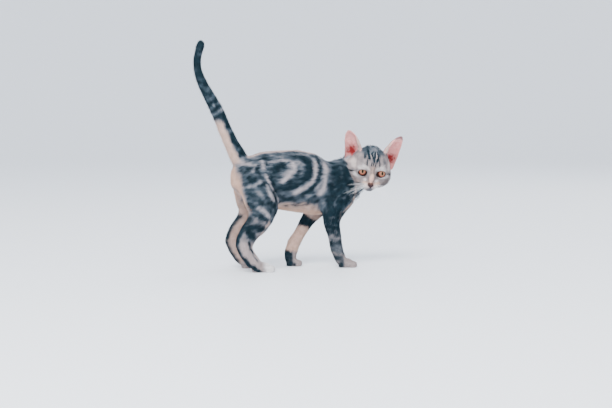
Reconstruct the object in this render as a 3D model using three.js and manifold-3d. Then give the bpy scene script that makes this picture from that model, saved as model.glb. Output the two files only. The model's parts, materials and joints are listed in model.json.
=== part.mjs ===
// A tabby kitten about three months old, life size, walking with its tail up and its head
// turned back over the right shoulder. A still model: every part of the body is one closed
// solid out to the tips of the coat, and thin cuts part it from its neighbours.
//
// Millimetres. +X runs along the trunk from rump to chest, +Y is the kitten's left, +Z is up,
// and the floor is Z = 0.
import * as THREE from "three";
import { mergeVertices } from "three/addons/utils/BufferGeometryUtils.js";
import Module from "manifold-3d";

const wasm = await Module();
wasm.setup();

// ---------- driving dimensions ----------

const cutGap = 0.3; // between any two neighbouring solids

// The trunk, from rump to chest: position along it, back line, belly line, half width.
const trunkSections = [
  { x: -103, back: 171, belly: 127, half: 19 },
  { x: -86, back: 180.5, belly: 108, half: 25 },
  { x: -62, back: 188, belly: 99, half: 27 },
  { x: -34, back: 189.5, belly: 94, half: 29 },
  { x: -7, back: 190.5, belly: 89.5, half: 31 },
  { x: 18, back: 185, belly: 85, half: 31 },
  { x: 40, back: 172.5, belly: 82.5, half: 29 },
  { x: 60, back: 170, belly: 83.5, half: 26 },
  { x: 80, back: 164, belly: 92, half: 21 },
  { x: 90, back: 152, belly: 104, half: 15 },
];

// The neck rises from between the shoulders and bends to the right behind the skull.
const neckSections = [
  { at: [50, 0, 140], half: 22, up: 29, down: 34 },
  { at: [72, 2, 145], half: 23.5, up: 29.5, down: 40 },
  { at: [92, 3, 151], half: 23, up: 26, down: 40, side: [-0.3, 1, 0] },
  { at: [109, -3, 157], half: 22, up: 24, down: 31, side: [-0.8, 1, 0] },
];
const neckCut = { at: [79, 0, 150], normal: [0.88, 0, 0.47] };

// The tail stands up from the rump, leans back and hooks forward at its tip.
const tailSections = [
  { at: [-86, 0, 156], half: 11.5, up: 14 },
  { at: [-97, 0, 175], half: 12, up: 14.5 },
  { at: [-108.5, 0, 196], half: 11.3, up: 12 },
  { at: [-121, 0, 222], half: 10.4, up: 10.8 },
  { at: [-134.3, 0, 253], half: 10.2, up: 10.4 },
  { at: [-150, 0, 281], half: 8.6, up: 8.8 },
  { at: [-162, 0, 306], half: 7.2, up: 7.2 },
  { at: [-165.3, 0, 330], half: 6.3, up: 6.3 },
  { at: [-158.7, 0, 355], half: 7, up: 7 },
];
const tailCuts = [
  { at: [-124.5, 0, 230], normal: [-0.42, 0, 0.9] },
  { at: [-156, 0, 293], normal: [-0.44, 0, 0.9] },
];

// Each leg is a chain of segments. A segment's sections give its middle, its half width
// across the body and its half depth fore and aft. side is 1 for the left, -1 for the right,
// and Y is measured outwards from the midline.
const rightForeLeg = {
  side: -1,
  segments: [
    [
      { at: [63, 12, 159], half: 9, up: 15 },
      { at: [70, 17, 136], half: 12.5, up: 23 },
      { at: [66, 21, 112], half: 13, up: 23 },
      { at: [53, 22.5, 95], half: 12.5, up: 20 },
    ],
    [
      { at: [51, 23, 92], half: 12, up: 20 },
      { at: [49, 23.5, 70], half: 10.5, up: 14 },
      { at: [54, 24, 51], half: 9.3, up: 11.7 },
      { at: [57, 24, 32], half: 9, up: 11 },
      { at: [62, 24, 18], half: 8.8, up: 10 },
      { at: [66, 24, 10.5], half: 9, up: 9.5 },
    ],
  ],
  paw: { heel: [66, 24, 8], toes: [79, 24.5, 6.7], half: 10.5, high: 10 },
  cuts: [
    { at: [50, 0, 89], normal: [0.1, 0, 1] },
    { at: [59, 0, 25], normal: [0.25, 0, 1] },
  ],
};
const leftForeLeg = {
  side: 1,
  segments: [
    [
      { at: [60, 12, 159], half: 9, up: 15 },
      { at: [67, 17, 136], half: 12.5, up: 23 },
      { at: [58, 20.5, 112], half: 13, up: 22 },
      { at: [38, 20.5, 94], half: 12.5, up: 19 },
    ],
    [
      { at: [36, 20.5, 90], half: 12, up: 17.5 },
      { at: [22, 20, 72], half: 10.5, up: 12 },
      { at: [9.5, 20, 52], half: 9.2, up: 10 },
      { at: [-0.5, 20, 37], half: 9.2, up: 11.8 },
      { at: [-6, 20, 20], half: 9, up: 11 },
      { at: [-6, 20, 10.5], half: 9, up: 10 },
    ],
  ],
  paw: { heel: [-7.5, 20, 8], toes: [0.5, 20, 6.7], half: 10.5, high: 10 },
  cuts: [
    { at: [36, 0, 88], normal: [0.5, 0, 1] },
    { at: [-6, 0, 27], normal: [0.2, 0, 1] },
  ],
};
const rightHindLeg = {
  side: -1,
  segments: [
    [
      { at: [-85, 13, 157], half: 14, up: 20 },
      { at: [-82, 18, 140], half: 15.5, up: 24 },
      { at: [-72.5, 22, 119], half: 16.5, up: 28 },
      { at: [-68, 25, 99], half: 15.5, up: 28 },
      { at: [-70, 27, 89], half: 14, up: 23 },
    ],
    [
      { at: [-70, 27, 90], half: 14, up: 23 },
      { at: [-79, 29, 74], half: 12.5, up: 19 },
      { at: [-93, 30, 60], half: 10.5, up: 16.5 },
      { at: [-100.5, 31, 47], half: 9.2, up: 15.5 },
    ],
    [
      { at: [-101, 31, 48], half: 9.2, up: 15.5 },
      { at: [-97, 31, 32], half: 9.2, up: 12.6 },
      { at: [-87, 31, 17], half: 9.8, up: 12 },
      { at: [-79, 31, 10.5], half: 10.3, up: 9.5 },
    ],
  ],
  paw: { heel: [-82, 31, 8], toes: [-64, 31.5, 7], half: 11.2, high: 10.5 },
  cuts: [
    { at: [-71, 0, 86], normal: [0.35, 0, 1] },
    { at: [-98, 0, 50], normal: [0.25, 0, 1] },
    { at: [-86, 0, 16], normal: [-0.8, 0, 0.6] },
  ],
};
// The left hind leg is the right one's mirror image, with its foot nearer the midline.
const leftFootIn = 10;
const movedIn = ({ at: [x, y, z], ...sizes }) => {
  const share = THREE.MathUtils.clamp((100 - z) / 50, 0, 1);
  return { at: [x - 1.5 * share, y - leftFootIn * share, z], ...sizes };
};
const leftHindLeg = {
  ...rightHindLeg,
  side: 1,
  segments: rightHindLeg.segments.map((segment) => segment.map(movedIn)),
  paw: { heel: [-83.5, 21, 8], toes: [-65.5, 21.5, 7], half: 11.2, high: 10.5 },
};

// The head, in its own frame: +X out through the nose, +Y left, +Z up, eyes level with Z = 0.
const headAt = [116, -22, 157];
const headYaw = -106; // degrees from the trunk's heading
const headPitch = 13; // nose down
const headTilt = 7; // towards its left ear
const headSoftness = 1.6; // how softly the masses below run together
const mirrored = ({ at: [x, y, z], size }) => [
  { at: [x, y, z], size },
  { at: [x, -y, z], size },
];
const headMasses = [
  { at: [-7, 0, 9], size: [31, 31, 27] }, // cranium
  { at: [5, 0, 12], size: [20, 21, 19] }, // forehead
  { at: [17, 0, -7], size: [15, 7, 13.5] }, // bridge of the nose
  { at: [14, 0, -25], size: [13, 9, 8] }, // chin
  { at: [2, 0, -14], size: [21, 24, 16] }, // throat
  ...mirrored({ at: [-1, 16, -3], size: [20, 19, 20] }), // cheeks
  ...mirrored({ at: [6, 12.5, -16], size: [15, 13, 11.5] }), // jowls
  ...mirrored({ at: [12, 13, 9], size: [11.5, 11, 9.5] }), // brows
  ...mirrored({ at: [21.5, 5.6, -19.6], size: [11, 8.2, 7.4] }), // whisker pads
  { at: [-6, -22, -2], size: [16, 21, 18] }, // right cheek's coat, bunched by the turned neck
];
const eye = { at: [15.8, 15.3, 0], radius: 8.6 };
const nosePad = { at: [32.4, 0, -16.4], size: [3.2, 4.9, 3.2] };

// An ear is a cup that tapers from its root to its tip, with its hollow facing forward and
// outward. A section's Y is measured outwards.
const earRoot = [-9, 27, 18];
const earTip = [-7, 43.5, 61];
const earFacing = 30; // degrees outward from straight ahead
const earWall = 2.2;
const earSections = [
  { at: [0, 5, -15], half: 15, up: 9 },
  { at: [0, 1.5, 0], half: 17, up: 10 },
  { at: [-0.8, 0, 15], half: 15, up: 8.2 },
  { at: [-0.6, 0, 29], half: 12, up: 5.8 },
  { at: [0.4, 0, 38.5], half: 8.2, up: 3.2 },
  { at: [1.2, 0, 43.5], half: 3.4, up: 1.8 },
];

// ---------- coat and eye colours ----------

const coatGrey = new THREE.MeshStandardMaterial({ color: 0x8d8683, roughness: 0.85 });
const coatDark = new THREE.MeshStandardMaterial({ color: 0x2d3238, roughness: 0.85 });
const coatPale = new THREE.MeshStandardMaterial({ color: 0xb9aaa4, roughness: 0.85 });
const earPink = new THREE.MeshStandardMaterial({ color: 0xcf9c98, roughness: 0.7 });
const noseLeather = new THREE.MeshStandardMaterial({ color: 0x8a5a58, roughness: 0.5 });
const eyeAmber = new THREE.MeshStandardMaterial({ color: 0xa8653c, roughness: 0.08 });

// ---------- making solids ----------

const vector = (p) => new THREE.Vector3(...p);

// A three.js geometry as a manifold solid.
function solidOf(geometry) {
  const bare = geometry.clone();
  for (const name of ["normal", "uv"]) bare.deleteAttribute(name);
  const merged = mergeVertices(bare, 1e-4);
  return new wasm.Manifold(
    new wasm.Mesh({
      numProp: 3,
      vertProperties: new Float32Array(merged.attributes.position.array),
      triVerts: new Uint32Array(merged.index.array),
    }),
  );
}

// Where each ring of a loft lies: t along its sections, how far the ring is drawn in, and
// how far it is pushed past the end, both as shares of the end's radius.
function ringPlan(between, sections, capRings) {
  const rings = [];
  for (let k = 0; k <= capRings; k++) {
    const turn = (Math.PI / 2) * (k / capRings);
    rings.push({ t: 0, share: Math.sin(turn), push: -Math.cos(turn) });
  }
  const steps = between * (sections - 1);
  for (let k = 1; k < steps; k++) rings.push({ t: k / steps, share: 1, push: 0 });
  for (let k = capRings; k >= 0; k--) {
    const turn = (Math.PI / 2) * (k / capRings);
    rings.push({ t: 1, share: Math.sin(turn), push: Math.cos(turn) });
  }
  return rings;
}

// A sphere drawn out along a curve: each section gives the middle, the half width to the side,
// and how far the surface is above and below the curve. grow adds to all of them.
function loft(sections, { around = 18, between = 3, capRings = 4, blunt = 0.7, grow = 0 } = {}) {
  const line = new THREE.CatmullRomCurve3(sections.map((s) => vector(s.at)));
  const sizes = new THREE.CatmullRomCurve3(
    sections.map((s) => new THREE.Vector3(s.half, s.up, s.down ?? s.up)),
  );
  const sides = new THREE.CatmullRomCurve3(sections.map((s) => vector(s.side ?? [0, 1, 0])));
  const rings = ringPlan(between, sections.length, capRings);
  const sphere = new THREE.SphereGeometry(1, around, rings.length - 1);
  const place = sphere.attributes.position;
  for (let i = 0; i < place.count; i++) {
    const row = Math.floor(i / (around + 1));
    const turn = (2 * Math.PI * (i % (around + 1))) / around;
    const { t, share, push } = rings[rings.length - 1 - row];
    const middle = line.getPoint(t);
    const along = line.getTangent(t);
    const left = sides.getPoint(t);
    left.addScaledVector(along, -left.dot(along)).normalize();
    const up = along.clone().cross(left);
    const size = sizes.getPoint(t).addScalar(grow);
    const high = Math.sin(turn) > 0 ? size.y : size.z;
    middle.addScaledVector(along, (push * blunt * (size.x + size.y)) / 2);
    middle.addScaledVector(left, Math.cos(turn) * size.x * share);
    middle.addScaledVector(up, Math.sin(turn) * high * share);
    place.setXYZ(i, middle.x, middle.y, middle.z);
  }
  return solidOf(sphere);
}

function box(low, high) {
  const size = vector(high).sub(vector(low));
  const geometry = new THREE.BoxGeometry(size.x, size.y, size.z);
  geometry.translate(...vector(high).add(vector(low)).multiplyScalar(0.5).toArray());
  return solidOf(geometry);
}

function ellipsoid({ at, size }, grow = 0, around = 10) {
  const geometry = new THREE.SphereGeometry(1, around, around * 0.75);
  geometry.scale(size[0] + grow, size[1] + grow, size[2] + grow);
  geometry.translate(...at);
  return solidOf(geometry);
}

const joined = (solids) => solids.reduce((all, next) => all.add(next));

// Half of space as a big box: ahead of the cut's plane, where its normal points, or behind it.
function halfSpace({ at, normal }, ahead) {
  const reach = 500;
  const geometry = new THREE.BoxGeometry(reach, reach, reach);
  const shift = (reach / 2 + cutGap / 2) * (ahead ? 1 : -1);
  geometry.translate(0, 0, shift);
  const turn = new THREE.Quaternion().setFromUnitVectors(
    new THREE.Vector3(0, 0, 1),
    vector(normal).normalize(),
  );
  geometry.applyQuaternion(turn);
  geometry.translate(...at);
  return solidOf(geometry);
}

// Parts a solid by each cut in turn, from the side that the normals point to.
function parted(solid, cuts) {
  const pieces = [];
  let rest = solid;
  for (const cut of cuts) {
    pieces.push(rest.intersect(halfSpace(cut, true)));
    rest = rest.intersect(halfSpace(cut, false));
  }
  return [...pieces, rest];
}

// ---------- the body ----------

// The trunk is widest a little above the middle of its depth.
function trunk(grow = 0) {
  const widestAt = 0.56;
  const sections = trunkSections.map(({ x, back, belly, half }) => ({
    at: [x, 0, belly + widestAt * (back - belly)],
    half,
    up: (1 - widestAt) * (back - belly),
    down: widestAt * (back - belly),
  }));
  return loft(sections, { around: 18, between: 1, blunt: 0.42, capRings: 3, grow });
}

const onSide = (sections, side) =>
  sections.map(({ at: [x, y, z], ...sizes }) => ({ at: [x, side * y, z], ...sizes }));

// A paw: a low rounded block from heel to toes, with four toes across its front. It reaches
// a little under the floor, so that the cut at Z = 0 leaves a flat sole.
function paw({ heel, toes, half, high }, side) {
  const sections = [
    { at: heel, half: half * 0.88, up: high },
    { at: toes, half, up: high * 0.8 },
  ];
  const toeGap = half * 0.52;
  const toeLength = half * 0.74;
  const toeMasses = [-1.5, -0.5, 0.5, 1.5].map((n) => {
    const ahead = half * (Math.abs(n) < 1 ? 0.62 : 0.34);
    return {
      at: [toes[0] + ahead, side * toes[1] + n * toeGap, high * 0.45],
      size: [toeLength, toeGap * 0.66, high * 0.65],
    };
  });
  return joined([
    loft(onSide(sections, side), { around: 10, between: 1, capRings: 3, blunt: 0.6 }),
    ...toeMasses.map((toe) => ellipsoid(toe, 0, 7)),
  ]);
}

function limb(leg, grow = 0) {
  const options = { around: 12, between: 1, capRings: 2, grow };
  return joined(leg.segments.map((sections) => loft(onSide(sections, leg.side), options)));
}

const underFloor = box([-400, -400, -60], [400, 400, 0]);

// Names for a leg's pieces, from the body down.
const foreNames = ["upper_arm", "forearm", "fore_paw"];
const hindNames = ["thigh", "shank", "hind_foot", "hind_paw"];

function legPieces(leg, side, names) {
  const ownSide = halfSpace({ at: [0, 0, 0], normal: [0, leg.side, 0] }, true);
  const whole = limb(leg).add(paw(leg.paw, leg.side)).intersect(ownSide).subtract(underFloor);
  return parted(whole, leg.cuts).map((solid, i) => ({ name: `${side}_${names[i]}`, solid }));
}

// ---------- the head ----------

const headFrame = new THREE.Matrix4()
  .makeTranslation(...headAt)
  .multiply(new THREE.Matrix4().makeRotationZ(THREE.MathUtils.degToRad(headYaw)))
  .multiply(new THREE.Matrix4().makeRotationY(THREE.MathUtils.degToRad(headPitch)))
  .multiply(new THREE.Matrix4().makeRotationX(THREE.MathUtils.degToRad(-headTilt)));

// How far a ray from the head's middle travels before it leaves a mass.
function wayOut(direction, { at, size }) {
  const scaled = new THREE.Vector3(...direction.toArray().map((d, i) => d / size[i]));
  const start = new THREE.Vector3(...at.map((a, i) => -a / size[i]));
  const along = scaled.dot(start);
  const reach = along * along - scaled.lengthSq() * (start.lengthSq() - 1);
  return reach > 0 ? (-along + Math.sqrt(reach)) / scaled.lengthSq() : 0;
}

// The skull, cheeks and muzzle as one surface, at the soft maximum of the masses' reaches.
function skull(grow = 0) {
  const sphere = new THREE.SphereGeometry(1, 26, 20);
  sphere.rotateZ(-Math.PI / 2); // its fine rings close round the nose
  const place = sphere.attributes.position;
  for (let i = 0; i < place.count; i++) {
    const direction = new THREE.Vector3().fromBufferAttribute(place, i).normalize();
    const total = headMasses.reduce((s, m) => s + Math.exp(wayOut(direction, m) / headSoftness), 0);
    const reach = Math.log(total) * headSoftness + grow;
    place.setXYZ(i, direction.x * reach, direction.y * reach, direction.z * reach);
  }
  return solidOf(sphere);
}

// An ear in the head's frame, drawn out along the line from its root to its tip.
function ear(side) {
  const outer = onSide(earSections, side);
  const hollow = outer.map(({ at: [x, y, z], half, up }) => ({
    at: [x + up * 0.62 + earWall * 0.6, y, z + 0.4],
    half: Math.max(half - earWall * 0.8, 0.4),
    up: Math.max(up * 1.05, 0.6),
  }));
  const shaped = loft(outer, { around: 12, between: 1, capRings: 2, blunt: 0.5 }).subtract(
    loft(hollow, { around: 10, between: 1, capRings: 2, blunt: 0.3 }),
  );
  const root = vector(earRoot).multiply(new THREE.Vector3(1, side, 1));
  const tip = vector(earTip).multiply(new THREE.Vector3(1, side, 1));
  const along = tip.sub(root).normalize();
  const turn = THREE.MathUtils.degToRad(earFacing);
  const facing = new THREE.Vector3(Math.cos(turn), side * Math.sin(turn), 0);
  const across = along.clone().cross(facing).normalize();
  const frame = new THREE.Matrix4().makeBasis(across.clone().cross(along), across, along);
  return shaped.transform(frame.setPosition(root).toArray());
}

const toBody = (solid) => solid.transform(headFrame.toArray());

function eyeBall(side, grow = 0) {
  const [x, y, z] = eye.at;
  const size = [eye.radius, eye.radius, eye.radius];
  return ellipsoid({ at: [x, side * y, z], size }, grow, 12);
}

// ---------- assembly ----------

const group = new THREE.Group();

function add(name, solid, material) {
  const mesh = solid.getMesh();
  const geometry = new THREE.BufferGeometry();
  geometry.setAttribute("position", new THREE.BufferAttribute(mesh.vertProperties, 3));
  geometry.setIndex(new THREE.BufferAttribute(mesh.triVerts, 1));
  geometry.computeVertexNormals();
  const node = new THREE.Mesh(geometry, material);
  node.name = name;
  group.add(node);
}

const legs = [
  { leg: rightForeLeg, side: "right", names: foreNames },
  { leg: leftForeLeg, side: "left", names: foreNames },
  { leg: rightHindLeg, side: "right", names: hindNames },
  { leg: leftHindLeg, side: "left", names: hindNames },
];
const grownLegs = joined(legs.flatMap(({ leg }) => [limb(leg, cutGap), limb(leg)]));
const headRoom = toBody(skull(cutGap));

const neckOptions = { around: 14, between: 1, capRings: 3, blunt: 0.6 };
const torso = trunk().add(loft(neckSections, neckOptions));
const [neck, barrel] = parted(torso, [neckCut]);
const trunkRoom = grownLegs.add(headRoom);
const largest = (solid) => solid.decompose().sort((a, b) => b.volume() - a.volume())[0];
add("trunk", largest(barrel.subtract(trunkRoom)), coatGrey);
add("neck", largest(neck.subtract(headRoom).subtract(grownLegs)), coatDark);

for (const { leg, side, names } of legs) {
  for (const { name, solid } of legPieces(leg, side, names)) {
    add(name, largest(solid.subtract(headRoom)), name.endsWith("paw") ? coatPale : coatGrey);
  }
}

const tail = loft(tailSections, { around: 10, between: 2, capRings: 2, blunt: 0.9 })
  .subtract(trunk(cutGap))
  .subtract(grownLegs);
parted(tail, [...tailCuts].reverse()).forEach((solid, i) => {
  add(["tail_tip", "tail_middle", "tail_base"][i], largest(solid), coatDark);
});

const eyes = { right: -1, left: 1 };
const eyeRoom = eyeBall(eyes.right, cutGap).add(eyeBall(eyes.left, cutGap));
add("head", toBody(largest(skull().subtract(eyeRoom).subtract(ellipsoid(nosePad, cutGap)))), coatPale);
add("nose", toBody(ellipsoid(nosePad)), noseLeather);
for (const [side, sign] of Object.entries(eyes)) add(`${side}_eye`, toBody(eyeBall(sign)), eyeAmber);
const earRoom = headRoom.add(loft(neckSections, { ...neckOptions, grow: cutGap }));
add("right_ear", largest(toBody(ear(-1)).subtract(earRoom)), earPink);
add("left_ear", largest(toBody(ear(1)).subtract(earRoom)), earPink);

// The origin is on the floor, under the middle of the whole kitten's box.
const middle = new THREE.Box3().setFromObject(group).getCenter(new THREE.Vector3());
group.position.set(-middle.x, -middle.y, 0);

export default group;
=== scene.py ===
import heapq
import json
import math
import bpy
import numpy as np
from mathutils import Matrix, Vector, noise
from mathutils.bvhtree import BVHTree

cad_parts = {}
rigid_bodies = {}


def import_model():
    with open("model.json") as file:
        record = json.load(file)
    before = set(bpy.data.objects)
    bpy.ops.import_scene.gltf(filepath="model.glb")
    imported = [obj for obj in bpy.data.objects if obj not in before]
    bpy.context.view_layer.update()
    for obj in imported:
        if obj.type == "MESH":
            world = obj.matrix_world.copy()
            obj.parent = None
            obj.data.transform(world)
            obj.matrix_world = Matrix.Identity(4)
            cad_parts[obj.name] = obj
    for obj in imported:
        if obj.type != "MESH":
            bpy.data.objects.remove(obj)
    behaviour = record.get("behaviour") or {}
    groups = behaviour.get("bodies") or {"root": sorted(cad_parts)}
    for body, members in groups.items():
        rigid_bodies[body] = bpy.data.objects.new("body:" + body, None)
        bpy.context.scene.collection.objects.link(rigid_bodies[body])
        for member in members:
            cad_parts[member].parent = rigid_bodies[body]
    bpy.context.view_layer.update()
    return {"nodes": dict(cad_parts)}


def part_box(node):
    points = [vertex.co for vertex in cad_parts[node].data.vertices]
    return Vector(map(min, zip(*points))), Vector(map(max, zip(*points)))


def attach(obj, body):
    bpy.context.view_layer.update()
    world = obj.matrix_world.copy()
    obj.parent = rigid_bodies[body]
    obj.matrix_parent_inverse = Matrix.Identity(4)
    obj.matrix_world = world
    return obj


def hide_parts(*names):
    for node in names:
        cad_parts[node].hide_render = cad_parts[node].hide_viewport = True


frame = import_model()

# A tabby kitten in mid-stride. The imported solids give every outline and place. Here one skin
# takes the place of all the flesh, and eyes, nose, coat and whiskers are laid on it.
# Lengths in the dictionaries are millimetres, angles are degrees.

mm = 0.001
dice = np.random.default_rng(7)
nodes = frame["nodes"]


def deselectAll():
    bpy.ops.object.select_all(action="DESELECT")


def makeActive(piece):
    deselectAll()
    piece.select_set(True)
    bpy.context.view_layer.objects.active = piece


def onWhole(work, **settings):
    # one edit-mode step on the whole of the active piece
    bpy.ops.object.mode_set(mode="EDIT")
    bpy.ops.mesh.select_all(action="SELECT")
    work(**settings)
    bpy.ops.object.mode_set(mode="OBJECT")


def applied(piece, name, kind, **settings):
    modifier = piece.modifiers.new(name, kind)
    for key, value in settings.items():
        setattr(modifier, key, value)
    makeActive(piece)
    bpy.ops.object.modifier_apply(modifier=name)


def sideName(side):
    return "right" if side < 0 else "left"


def middleOf(node):
    low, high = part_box(node)
    return np.array((low + high) / 2)


def unit(v):
    return v / np.maximum(np.linalg.norm(v, axis=-1, keepdims=True), 1e-12)


def ease(value, low, high):
    t = np.clip((value - low) / (high - low), 0, 1)
    return t * t * (3 - 2 * t)


# the head's own axes: out through the nose, to its left, and up, with the eyes at height 0
head = {"eyeAhead": 15.8, "noseAhead": 16.6, "noseBelow": 16.4}


def findHead():
    right, left, nose = middleOf("right_eye"), middleOf("left_eye"), middleOf("nose")
    between = (right + left) / 2
    aside = unit(left - right)
    down = nose - between
    down = unit(down - aside * (down @ aside))
    turn = math.atan2(head["noseBelow"], head["noseAhead"])
    third = np.cross(down, aside)
    ahead = down * math.cos(turn) + third * math.sin(turn)
    axes = np.array([ahead, aside, np.cross(ahead, aside)])
    return between - ahead * head["eyeAhead"] * mm, axes


headMiddle, headAxes = findHead()


def toHead(points):
    return (np.asarray(points) - headMiddle) @ headAxes.T / mm


def fromHead(points):
    return np.asarray(points) * mm @ headAxes + headMiddle


# reading and writing meshes as arrays


def placesOf(mesh):
    found = np.empty(len(mesh.vertices) * 3)
    mesh.vertices.foreach_get("co", found)
    return found.reshape(-1, 3)


def setPlaces(mesh, places):
    mesh.vertices.foreach_set("co", places.astype(np.float32).ravel())
    mesh.update()


def normalsOf(mesh):
    found = np.empty(len(mesh.vertices) * 3, np.float32)
    mesh.vertices.foreach_get("normal", found)
    return found.reshape(-1, 3).astype(float)


def edgesOf(mesh):
    found = np.empty(len(mesh.edges) * 2, np.int32)
    mesh.edges.foreach_get("vertices", found)
    return found.reshape(-1, 2)


def trianglesOf(mesh, what="vertices"):
    mesh.calc_loop_triangles()
    found = np.empty(len(mesh.loop_triangles) * 3, np.int32)
    mesh.loop_triangles.foreach_get(what, found)
    return found.reshape(-1, 3)


def surfaceTree(mesh, places):
    return BVHTree.FromPolygons(places.tolist(), trianglesOf(mesh).tolist(), all_triangles=True)


def setAttribute(mesh, name, values):
    kind = "FLOAT_VECTOR" if values.ndim == 2 else "FLOAT"
    layer = mesh.attributes.new(name, kind, "POINT")
    layer.data.foreach_set("vector" if values.ndim == 2 else "value", values.astype(np.float32).ravel())


def average(values, edges):
    # each vertex's neighbours, averaged
    count = len(values)
    a, b = edges[:, 0], edges[:, 1]
    links = np.bincount(a, minlength=count) + np.bincount(b, minlength=count)
    flat = values.reshape(count, -1)
    total = np.empty_like(flat)
    for k in range(flat.shape[1]):
        column = flat[:, k]
        total[:, k] = np.bincount(a, column[b], count) + np.bincount(b, column[a], count)
    return (total / np.maximum(links, 1)[:, None]).reshape(values.shape)


def smoothed(values, edges, rounds, share=1.0):
    # shrink and swell in turn, so that thin parts keep their size
    share = np.broadcast_to(np.asarray(share, float).reshape(-1, 1), values.shape)
    for _ in range(rounds):
        values = values + 0.55 * share * (average(values, edges) - values)
        values = values - 0.56 * share * (average(values, edges) - values)
    return values


def softened(values, edges, rounds):
    for _ in range(rounds):
        values = 0.5 * values + 0.5 * average(values, edges)
    return values


def curveThrough(points, between=5):
    # a smooth line through the points, by Catmull-Rom
    points = np.asarray(points, float)
    if len(points) < 3:
        t = np.linspace(0, 1, between + 1)[:, None]
        return points[0] * (1 - t) + points[-1] * t
    ends = np.vstack([2 * points[0] - points[1], points, 2 * points[-1] - points[-2]])
    line = []
    for a, b, c, d in zip(ends[:-3], ends[1:-2], ends[2:-1], ends[3:]):
        for t in np.linspace(0, 1, between, endpoint=False):
            bend = (2 * a - 5 * b + 4 * c - d) * t**2 + (3 * b - a - 3 * c + d) * t**3
            line.append(0.5 * (2 * b + (c - a) * t + bend))
    line.append(points[-1])
    return np.array(line)


def lineRatio(points, line, half):
    # distance to the line over its half width, which is drawn in towards both ends
    best = np.full(len(points), 9.0)
    low, high = line.min(0) - 3 * half, line.max(0) + 3 * half
    near = np.where(((points > low) & (points < high)).all(1))[0]
    close = points[near]
    found = best[near]
    along = np.linspace(-1, 1, len(line))
    halves = half * (1 - 0.45 * along**4)
    for a, b, wide in zip(line[:-1], line[1:], halves):
        run = b - a
        t = np.clip(((close - a) @ run) / max(run @ run, 1e-12), 0, 1)
        gap = np.linalg.norm(close - a - t[:, None] * run, axis=1)
        found = np.minimum(found, gap / wide)
    best[near] = found
    return best


# the skin: the solids as one closed surface, drawn in by the depth of the coat

skinPlan = {
    "weld": 0.01,
    "swell": 0.25,  # closes the thin cuts between the solids
    "voxel": 1.0,
    "smoothing": 14,
    "faceSmoothing": 8,
    "earSmoothing": 2,
    "roundingVoxel": 3.0,  # a coarser copy, smoothed, takes the flats between sections off the body
    "rounding": 50,
    "bodyTriangles": 66000,
}

regions = {
    "trunk": ["trunk"],
    "neck": ["neck"],
    "upper": ["right_upper_arm", "left_upper_arm", "right_thigh", "left_thigh"],
    "lower": ["right_forearm", "left_forearm", "right_shank", "left_shank"],
    "foot": ["right_hind_foot", "left_hind_foot"],
    "paw": ["right_fore_paw", "left_fore_paw", "right_hind_paw", "left_hind_paw"],
    "tail": ["tail_base", "tail_middle", "tail_tip"],
    "head": ["head", "nose", "right_eye", "left_eye"],
    "ear": ["right_ear", "left_ear"],
}
regionNames = list(regions)
nodeNames = sorted(nodes)
fleshNodes = [n for names in regions.values() for n in names if "eye" not in n and n != "nose"]

# how deep the coat lies over each region
coatDepth = {
    "trunk": 2.0,
    "neck": 2.2,
    "upper": 1.8,
    "lower": 1.3,
    "foot": 1.0,
    "paw": 0.8,
    "tail": 1.5,
    "head": 1.0,
    "ear": 0.3,
}


def perRegion(weights, values):
    return weights @ np.array([values[r] for r in regionNames])


def share(weights, region):
    return weights[:, regionNames.index(region)]


def nodeTree():
    # all the solids' faces in one tree, and the node that each face belongs to
    places, faces, owners = [], [], []
    for number, name in enumerate(nodeNames):
        mesh = nodes[name].data
        start = len(places)
        places += [v.co.copy() for v in mesh.vertices]
        faces += [[start + i for i in face.vertices] for face in mesh.polygons]
        owners += [number] * len(mesh.polygons)
    return BVHTree.FromPolygons(places, faces), np.array(owners)


def regionWeights(places, edges, rounds):
    tree, owners = nodeTree()
    regionOf = {n: regionNames.index(r) for r, ns in regions.items() for n in ns}
    found = [tree.find_nearest(Vector(p))[2] for p in places]
    node = owners[np.array(found)]
    region = np.array([regionOf[n] for n in nodeNames])[node]
    weights = np.eye(len(regionNames))[region]
    return softened(weights, edges, rounds), node


def joinedFlesh():
    deselectAll()
    for node in nodes.values():
        node.select_set(True)
    bpy.context.view_layer.objects.active = nodes["trunk"]
    bpy.ops.object.duplicate()
    bpy.context.view_layer.objects.active = bpy.context.selected_objects[0]
    bpy.ops.object.join()
    skin = bpy.context.view_layer.objects.active
    bpy.ops.object.parent_clear(type="CLEAR_KEEP_TRANSFORM")
    for key in list(skin.keys()):
        del skin[key]
    skin.name = skin.data.name = "skin"
    skin.data.materials.clear()
    onWhole(bpy.ops.mesh.remove_doubles, threshold=skinPlan["weld"] * mm)
    applied(skin, "swell", "DISPLACE", strength=skinPlan["swell"] * mm, mid_level=0)
    applied(skin, "remesh", "REMESH", mode="VOXEL", voxel_size=skinPlan["voxel"] * mm)
    return skin


def addGroup(skin, name, values, low):
    group = skin.vertex_groups.new(name=name)
    for k in np.where(values > low)[0]:
        group.add([int(k)], float(values[k]), "REPLACE")


def roundOff(skin, body):
    makeActive(skin)
    bpy.ops.object.duplicate()
    coarse = bpy.context.object
    applied(coarse, "remesh", "REMESH", mode="VOXEL", voxel_size=skinPlan["roundingVoxel"] * mm)
    edges = edgesOf(coarse.data)
    setPlaces(coarse.data, smoothed(placesOf(coarse.data), edges, skinPlan["rounding"]))
    applied(coarse, "finer", "SUBSURF", levels=1, render_levels=1)
    addGroup(skin, "body", body, 0.01)
    applied(skin, "wrap", "SHRINKWRAP", target=coarse, vertex_group="body")
    skin.vertex_groups.clear()
    bpy.data.objects.remove(coarse)


def thinOut(skin, body):
    # fewer faces wherever body is high: the face keeps all of its own
    addGroup(skin, "thin", body, 0.02)
    corners = len(skin.data.polygons) * 2
    kept = skinPlan["bodyTriangles"] + corners * (1 - body.mean())
    applied(skin, "thin", "DECIMATE", vertex_group="thin", ratio=min(1, kept / corners))
    skin.vertex_groups.clear()


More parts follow.
